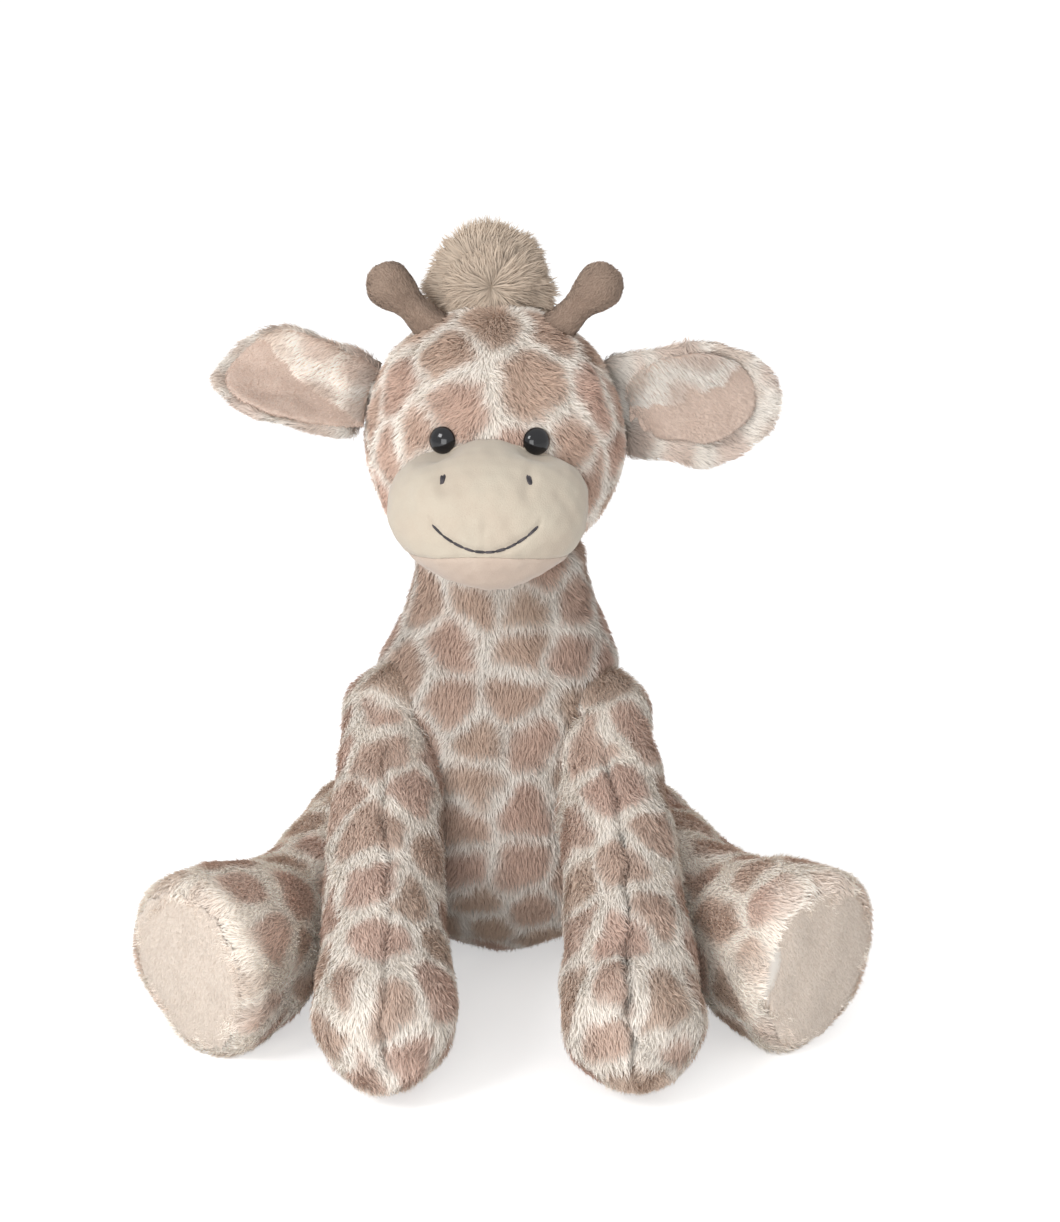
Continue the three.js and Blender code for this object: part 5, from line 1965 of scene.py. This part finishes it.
@dataclass
class Ear(Stuffed):
    """An ear, a cupped leaf of plush on a pinched root, lined with velour."""

    sign: int = 1
    lift: float = 3.0
    twist: float = 4.0
    sink: float = 6.0
    back: float = 4.0
    rise: float = 12.0
    length: float = 64.0
    height: float = 50.0
    thickness: float = 11.0
    cup: float = 8.0
    root_radius: float = 6.0
    root_height: float = 17.0
    root_room: float = 0.2
    draw_in: float = 1.4
    lining_scale: float = 0.78
    lining_rise: float = 0.0
    lining_proud: float = 2.0
    # How dark the painted shade at the pinched root is, and how much lighter or darker the lining is painted
    # for how the lamps fall on each ear
    pinch_painted_shade: float = 0.6
    lining_bright: float = 0.0
    fold_base: float = -7.7
    fold_slope: float = 0.37
    fold_edge: float = 1.2
    swing: float = 20.0
    shares: Table = (
        (-0.17, 0, 0, 0.1), (-0.13, 0.5, 0.5, 0.1), (-0.03, 0.74, 0.8, 0.15), (0.08, 0.84, 0.9, 0.25),
        (0.2, 0.89, 1, 0.4), (0.36, 0.95, 0.95, 0.7), (0.54, 1, 0.85, 1), (0.74, 0.87, 0.72, 0.95),
        (0.89, 0.58, 0.58, 0.6), (0.97, 0.28, 0.42, 0.25), (1, 0, 0, 0.1),
    )
    stuffing: Stuffing = Stuffing(voxel=1.2, passes=3, lump=0.5, lump_size=18.0)
    lining_stuffing: Stuffing = Stuffing(voxel=0.8, passes=2, lump=0.35, lump_size=13.0)
    lining: Optional[Item] = None
    fold: Optional[Array] = None
    drape: Optional[Array] = None

    @property
    def root(self) -> Array:
        """The point that the ear turns about, before the head is turned."""
        return HEAD_CENTRE + np.array((self.sign * (HEAD_RADIUS - self.sink), self.back, self.rise))

    def form(self) -> SoftForm:
        """The leaf's outer form."""
        angle = math.radians(self.lift)
        out = np.array((self.sign * math.cos(angle), 0.0, math.sin(angle)))
        tall = turn_matrix(out, -self.sign * self.twist) @ Z_AXIS
        rings = []
        for along, high, thick, cup in self.shares:
            half, deep = high * self.height / 2, thick * self.thickness / 2
            rings.append(ring(along * self.length, half, deep, cup=self.sign * cup * self.cup))
        return SoftForm(Path(self.root, self.root + out * self.length), tall, rings, step=1.5)

    def build(self) -> None:
        """Makes the leaf and its lining."""
        form = self.form()
        self.cloth = form.drawn_in(self.draw_in).build(f"{self.name}_cloth")
        radii = np.array((self.root_radius, self.root_radius, self.root_height / 2))
        combine(self.cloth, [ball(self.root, radii)], Joinery.JOIN)
        cheek = ball(HEAD_CENTRE, HEAD_SOCKET, 72)
        cut(cheek, ball(self.root, radii + self.root_room))
        tools = [cheek]
        for degrees in (self.swing, self.swing / 2, -self.swing / 2, -self.swing):
            tools.append(turned(copy_of(cheek), self.root, Z_AXIS, degrees))
        cut(self.cloth, *tools)
        self.stuffing.fill(self.cloth, self.seed)
        self.lining = self.lined(form)
        self.drape = form.across
        points = points_of(self.lining) - self.root
        along, tall = points @ unit(form.path.end - form.path.start), points @ form.across
        above = tall - self.fold_base - self.fold_slope * along
        bulge = 2.6 * ripple(points, 26.0, self.seed + 3) + 1.3 * ripple(points, 8.0, self.seed + 9)
        self.fold = smooth_step(above + bulge, -self.fold_edge, self.fold_edge)
        turn_head(self.lining)
        turn_head(self.cloth)

    def lined(self, form: SoftForm) -> Item:
        """Makes the lining, a smaller leaf that stands a little proud of the ear's front.

        Args:
            form: The ear's outer form.

        Returns:
            The lining's mesh.
        """
        middle = self.length / 2
        rings = []
        for row in form.rings:
            scaled = [value * self.lining_scale for value in row]
            scaled[0] = middle + (row[0] - middle) * self.lining_scale
            scaled[5] = row[5]
            rings.append(scaled)
        inner = SoftForm(form.path, form.across, rings, step=1.2).build(f"{self.name}_lining")
        deep = form.path.frames(np.zeros(1), form.across)[2][0] * self.sign
        set_points(inner, points_of(inner) + deep * self.lining_proud + form.across * self.lining_rise)
        body = form.drawn_in(self.draw_in - 0.2).build("leaf")
        cut(inner, body, ball(HEAD_CENTRE, HEAD_RADIUS, 72))
        self.lining_stuffing.fill(inner, self.seed + 5)
        return inner

    def lay(self, points: Array) -> Array:
        """Brushed from the root to the tip."""
        return np.tile(X_AXIS * self.sign, (len(points), 1)) - 0.4 * Z_AXIS

    def crease(self, points: Array) -> Array:
        """Painted shade where the root is pinched against the head."""
        away = np.linalg.norm(points - HEAD_CENTRE, axis=1) - HEAD_RADIUS
        return self.pinch_painted_shade * (1 - smooth_step(away, 1.0, 11.0))

    def dress(self, workshop: Workshop, neighbours: Sequence[BVHTree]) -> None:
        """Dresses the leaf and its lining."""
        super().dress(workshop, [*neighbours, surface_tree(self.lining)])
        self.print.lay_on(self.lining, self.seed + 2)
        # The lining gets the same painted shade at the root, and its own level of painted light
        store(self.lining, "crease", self.crease(points_of(self.lining)))
        store_evenly(self.lining, bright=self.lining_bright)
        lay = unit(X_AXIS * self.sign - 0.9 * self.drape)
        comb(self.lining, self.fold, np.tile(lay, (len(self.fold), 1)))
        name = f"{self.name}_fold"
        self.pile.grow(workshop, self.lining, name, workshop.plush, self.body, self.seed + 7)
        store(self.lining, "pile", 1 - self.fold)
        finish_piece(self.lining, workshop.lining, self.body, [f"ear_lining_{self.side}"])
        name = f"{self.name}_lining_nap"
        workshop.short_nap.grow(workshop, self.lining, name, workshop.lining_nap, self.body, self.seed)
        forget(self.lining)


@dataclass
class Tail(Stuffed):
    """The thin tail, with a tuft of long pile at its end."""

    root: Triple = (0.0, 49.0, 34.0)
    ball_radius: float = 7.0
    width: float = 9.0
    reach: float = 40.0
    end_up: float = 9.0
    tuft_width: float = 15.0
    tuft_length: float = 32.0
    draw_in: float = 1.6
    root_end: float = 3.0
    tuft_inset: float = 0.6
    cord_gap: float = 0.3
    tuft_shares: Table = ((-0.16, 0), (-0.1, 0.3), (0.0, 0.5), (0.2, 0.66), (0.4, 0.4), (0.52, 0))
    tuft: Optional[Item] = None

    def joint(self) -> Joint:
        """Where the tail lifts."""
        return Joint(np.array(self.root), self.ball_radius, X_AXIS, swing=55.0, steps=1, draw_in=self.draw_in)

    def path(self) -> Path:
        """The tail's line, down to the floor and back along it."""
        start = np.array(self.root)
        end = start + np.array((0.0, self.reach, self.end_up - self.root[2]))
        bend = np.array((0.0, start[1] + self.reach / 2, self.end_up))
        return Path(start, end, bend)

    def round_form(self, path: Path, rings: Sequence[list[float]], inset: float) -> SoftForm:
        """A slender round form along the tail."""
        return SoftForm(path, X_AXIS, rings, columns=32, step=1.0, inset=inset)

    def build(self, torso: Torso) -> None:
        """Makes the cord and the tuft's core.

        Args:
            torso: The body, which the cord's root is cut by.
        """
        path = self.path()
        half, run = self.width / 2, path.length
        rings = [ring(-self.root_end, 0), ring(0, half), ring(run * 0.5, half)]
        rings += [ring(run * 0.95, half), ring(run, 0)]
        self.cloth = self.round_form(path, rings, self.draw_in).build("tail_cloth")
        joint = self.joint()
        combine(self.cloth, [ball(joint.centre, joint.radius - joint.draw_in)], Joinery.JOIN)
        cut(self.cloth, torso.seat_for(joint))
        round_off(self.cloth, voxel=0.9, passes=3)
        tuft = [
            ring(run + beyond * self.tuft_length, wide * self.tuft_width / 2)
            for beyond, wide in self.tuft_shares
        ]
        self.tuft = self.round_form(path, tuft, self.tuft_inset).build("tail_tuft_core")
        cut(self.tuft, self.cord_room(path))
        round_off(self.tuft, voxel=0.8, passes=2)

    def cord_room(self, path: Path) -> Item:
        """What the cord takes out of the tuft."""
        half = self.width / 2
        rings = [ring(0, 0), ring(1, half), ring(path.length * 0.95, half), ring(path.length, 0)]
        return self.round_form(path, rings, self.draw_in - self.cord_gap).build("cord_room")

    def lay(self, points: Array) -> Array:
        """Brushed to the tail's end."""
        return np.tile(Y_AXIS, (len(points), 1)) - 0.3 * Z_AXIS

    def dress(self, workshop: Workshop, neighbours: Sequence[BVHTree]) -> None:
        """Dresses the cord and the tuft."""
        super().dress(workshop, neighbours)
        plain_print(self.tuft)
        comb(
            self.tuft, smooth_step(normals_of(self.tuft) @ Y_AXIS, -0.55, -0.1),
            self.lay(points_of(self.tuft)),
        )
        finish_piece(self.tuft, workshop.long_cloth, self.body, ["tail_tuft"])
        name = f"{self.name}_tuft_pile"
        workshop.tuft_pile.grow(workshop, self.tuft, name, workshop.long_pile, self.body, self.seed)
        forget(self.tuft)
        store_evenly(self.tuft, **MIDDLING)


@dataclass
class Studio:
    """The pale floor, the soft lamps and the camera at the photograph's angle."""

    camera_place: Triple = (13.0, -928.0, 475.0)
    look_down: float = 20.0
    focal_pixels: float = 2551.0
    picture_height: float = 1222.0
    sensor: float = 36.0
    floor_reach: float = 9000.0
    floor_glow: float = 0.5
    ambient: float = 0.63
    lit_place: Triple = (0.0, -20.0, 130.0)

    def build(self) -> None:
        """Makes the whole studio."""
        self.camera()
        self.floor()
        self.world()
        self.lamp("key", (-1000.0, -1000.0, 1200.0), 550.0, 10.0)
        self.lamp("front", (-350.0, -1450.0, 260.0), 900.0, 10.0)

    def camera(self) -> None:
        """Places the camera."""
        data = bpy.data.cameras.new("camera")
        data.sensor_width = self.sensor
        data.lens = self.focal_pixels * self.sensor / self.picture_height
        data.clip_end = 50.0
        made = bpy.data.objects.new("camera", data)
        made.location = [value * MM for value in self.camera_place]
        made.rotation_euler = (math.radians(90 - self.look_down), 0.0, 0.0)
        bpy.context.scene.collection.objects.link(made)
        bpy.context.scene.camera = made

    def floor(self) -> None:
        """Lays the floor, pale to the eye but no brighter to the object."""
        reach = self.floor_reach
        corners = np.array(((-reach, -reach, 0), (reach, -reach, 0), (reach, reach, 0), (-reach, reach, 0)))
        made = new_object("floor", corners, [(0, 1, 2, 3)])
        paper, nodes, shader = new_material("floor_paper")
        shader.inputs["Roughness"].default_value = 1.0
        shader.inputs["Specular IOR Level"].default_value = 0.0
        grain = nodes.cloud(nodes.place(), 1.5, 3.0)
        nodes.feed(shader.inputs["Base Color"], nodes.mixed(grain, linear("#F4F4F4"), linear("#F7F7F7")))
        shader.inputs["Emission Color"].default_value = (1, 1, 1, 1)
        glow = nodes.math("MULTIPLY", nodes.looked_at(), self.floor_glow)
        nodes.feed(shader.inputs["Emission Strength"], glow)
        made.data.materials.append(paper)

    def world(self) -> None:
        """Lights the object evenly and shows white behind it."""
        made = bpy.data.worlds.new("studio")
        made.use_nodes = True
        bpy.context.scene.world = made
        nodes = Nodes(made.node_tree)
        back = made.node_tree.nodes["Background"]
        back.inputs["Color"].default_value = (1, 1, 1, 1)
        strength = nodes.math("MULTIPLY_ADD", nodes.looked_at(), 1 - self.ambient, self.ambient)
        nodes.feed(back.inputs["Strength"], strength)

    def lamp(self, name: str, place: Triple, size: float, watts: float) -> None:
        """Hangs a soft square lamp that faces the toy.

        Args:
            name: Its name.
            place: Where it hangs.
            size: Its side.
            watts: Its power.
        """
        data = bpy.data.lights.new(name, "AREA")
        data.size = size * MM
        data.energy = watts
        made = bpy.data.objects.new(name, data)
        made.location = [value * MM for value in place]
        aim = np.array(self.lit_place) - np.array(place)
        made.rotation_mode = "QUATERNION"
        made.rotation_quaternion = Vector(aim).to_track_quat("-Z", "Y")
        bpy.context.scene.collection.objects.link(made)


def pair(
    kind: type[Stuffed], name: str, seed: int, replaces: Sequence[str],
    differing: Optional[dict[str, tuple[float, float]]] = None, **shared: object,
) -> list[Stuffed]:
    """Makes a left and a right piece that differ in a few sizes.

    Args:
        kind: Their class.
        name: Their name without its side, which is also their body's unless shared gives one.
        seed: The left one's seed.
        replaces: The nodes that they stand for, without their side.
        differing: The left and the right size by field.
        shared: The fields that both have.

    Returns:
        The left piece and the right one.
    """
    made = []
    for place, (side, sign) in enumerate(SIDES):
        given = {"body": f"{name}_{side}", **shared}
        given |= {title: sizes[place] for title, sizes in (differing or {}).items()}
        nodes = tuple(f"{node}_{side}" for node in replaces)
        made.append(kind(name=f"{name}_{side}", seed=seed + place, sign=sign, replaces=nodes, **given))
    return made


def main() -> None:
    """Builds every sub-assembly in order and dresses it."""
    logging.basicConfig(level=logging.INFO, format="%(name)s: %(message)s")
    bpy.context.scene.view_settings.view_transform = "Standard"
    Studio().build()
    workshop = Workshop()

    # Each piece's level of painted light below makes the whole piece lighter or darker, for how the lamps
    # fall on it
    torso = Torso(
        "torso", "torso", 70, print=Print(lattice=3.6, softness=1.8), marks=CHEST_MARKS, coats=2,
        bright=-0.12, fill=0.8, replaces=("torso_cover", "torso_filling", "pellet_pouch"),
    )
    head = Head(
        "head", "head", 33, pile=Pile(length=3.6, per_area=1.55),
        print=Print(stretch=(1.0, 1.0, 1.2), lattice=4.0, softness=1.8), marks=BROW_MARKS, coats=2,
        bright=0.09, fill=0.95, replaces=("head_cover", "head_filling"),
    )
    # The left front leg has the stronger painted shade in its seam
    front_legs = pair(
        FrontLeg, "front_leg", 31, ("front_leg", "front_leg_filling"),
        {"foot_across": (49.5, 38.0), "seam_painted_shade": (1.0, 0.5), "seam_depth": (3.2, 2.0)}, coats=2,
        fill=0.75, bright=0.09, print=Print(spacing=25.0, lattice=5.4, strength=0.88),
    )
    hind_legs = pair(
        HindLeg, "hind_leg", 41, ("hind_leg", "hind_leg_filling"),
        {"splay": (31.3, 27.5), "toe_out": (9.7, 12.5), "roll": (18.0, 20.0)}, coats=2, fill=0.75,
        bright=0.2, print=Print(spacing=24.0, lattice=6.6, strength=0.84),
    )
    short_pile = Pile(length=3.2, width=0.3, per_area=3.2, lean=0.65, stray=0.2, tuft_size=3.0)
    tail = Tail("tail", "tail", 51, pile=short_pile, fill=0.6, replaces=("tail",))
    horns = pair(
        Horn, "horn", 61, ("horn", "horn_filling"), body="head",
        pile=Pile(length=1.3, width=0.3, per_area=6.0, lean=0.8, stray=0.25, tuft_size=1.6, tuft_pull=0.1),
        fill=0.95,
    )
    long_pile = Pile(10.5, 0.6, per_area=6.0, lean=0.78, stray=0.12, tuft_size=3.6, tuft_pull=1.0)
    topknot = Topknot("topknot", "head", 71, pile=long_pile, fill=0.5, replaces=("topknot",))
    # The left ear's lining is painted darker and the right one's lighter, as painted light for how the lamps
    # fall on each
    ears = pair(
        Ear,
        "ear",
        81,
        ("ear",),
        {
            "lift": (3.0, 9.0), "twist": (4.0, 54.0), "fold_base": (-2.5, -17.0), "fold_slope": (0.4, 0.8),
            "lining_scale": (0.69, 0.82), "lining_rise": (2.6, -1.2), "lining_bright": (-0.1, 0.24),
        },
        pile=Pile(length=3.7, width=0.32, per_area=3.2, lean=0.74, stray=0.12, tuft_size=3.0, tuft_pull=0.2),
        fill=0.4,
        print=Print(strength=0.55, lattice=6.0, softness=2.4),
    )
    muzzle = Muzzle()
    eyes = [Eye(side, sign) for side, sign in SIDES]

    torso.build([piece.joint() for piece in (*front_legs, *hind_legs, tail)])
    head.build()
    for front, hind in zip(front_legs, hind_legs):
        front.build(torso)
        hind.build(torso, front)
    tail.build(torso)
    for piece in (muzzle, *horns, topknot, *ears):
        piece.build()

    legs = [leg for both in zip(front_legs, hind_legs) for leg in both]
    pieces = (torso, head, *legs, tail, *horns, topknot, *ears)
    trees = {piece.name: surface_tree(piece.cloth) for piece in pieces}
    touches = {
        "torso": ["head", "tail", *(leg.name for leg in legs)],
        "head": ["ear_left", "ear_right", "horn_left", "horn_right", "topknot", "torso"], "tail": ["torso"],
        "topknot": ["horn_left", "horn_right"],
    }
    for front, hind in zip(front_legs, hind_legs):
        touches[front.name] = ["torso", hind.name]
        touches[hind.name] = ["torso", front.name]
    for piece in (*horns, *ears):
        touches[piece.name] = ["head"]
    for piece in pieces:
        near = [trees[name] for name in touches[piece.name]]
        if piece is head:
            for eye in eyes:
                eye.build()
            near += [muzzle.tree, *(surface_tree(eye.button) for eye in eyes)]
        piece.dress(workshop, near)
    muzzle.dress(workshop)
    for eye in eyes:
        eye.dress(workshop)
        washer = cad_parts[f"eye_washer_{eye.side}"]
        washer.data.materials.clear()
        washer.data.materials.append(workshop.washer)
    workshop.close()


if __name__ == "__main__":
    main()
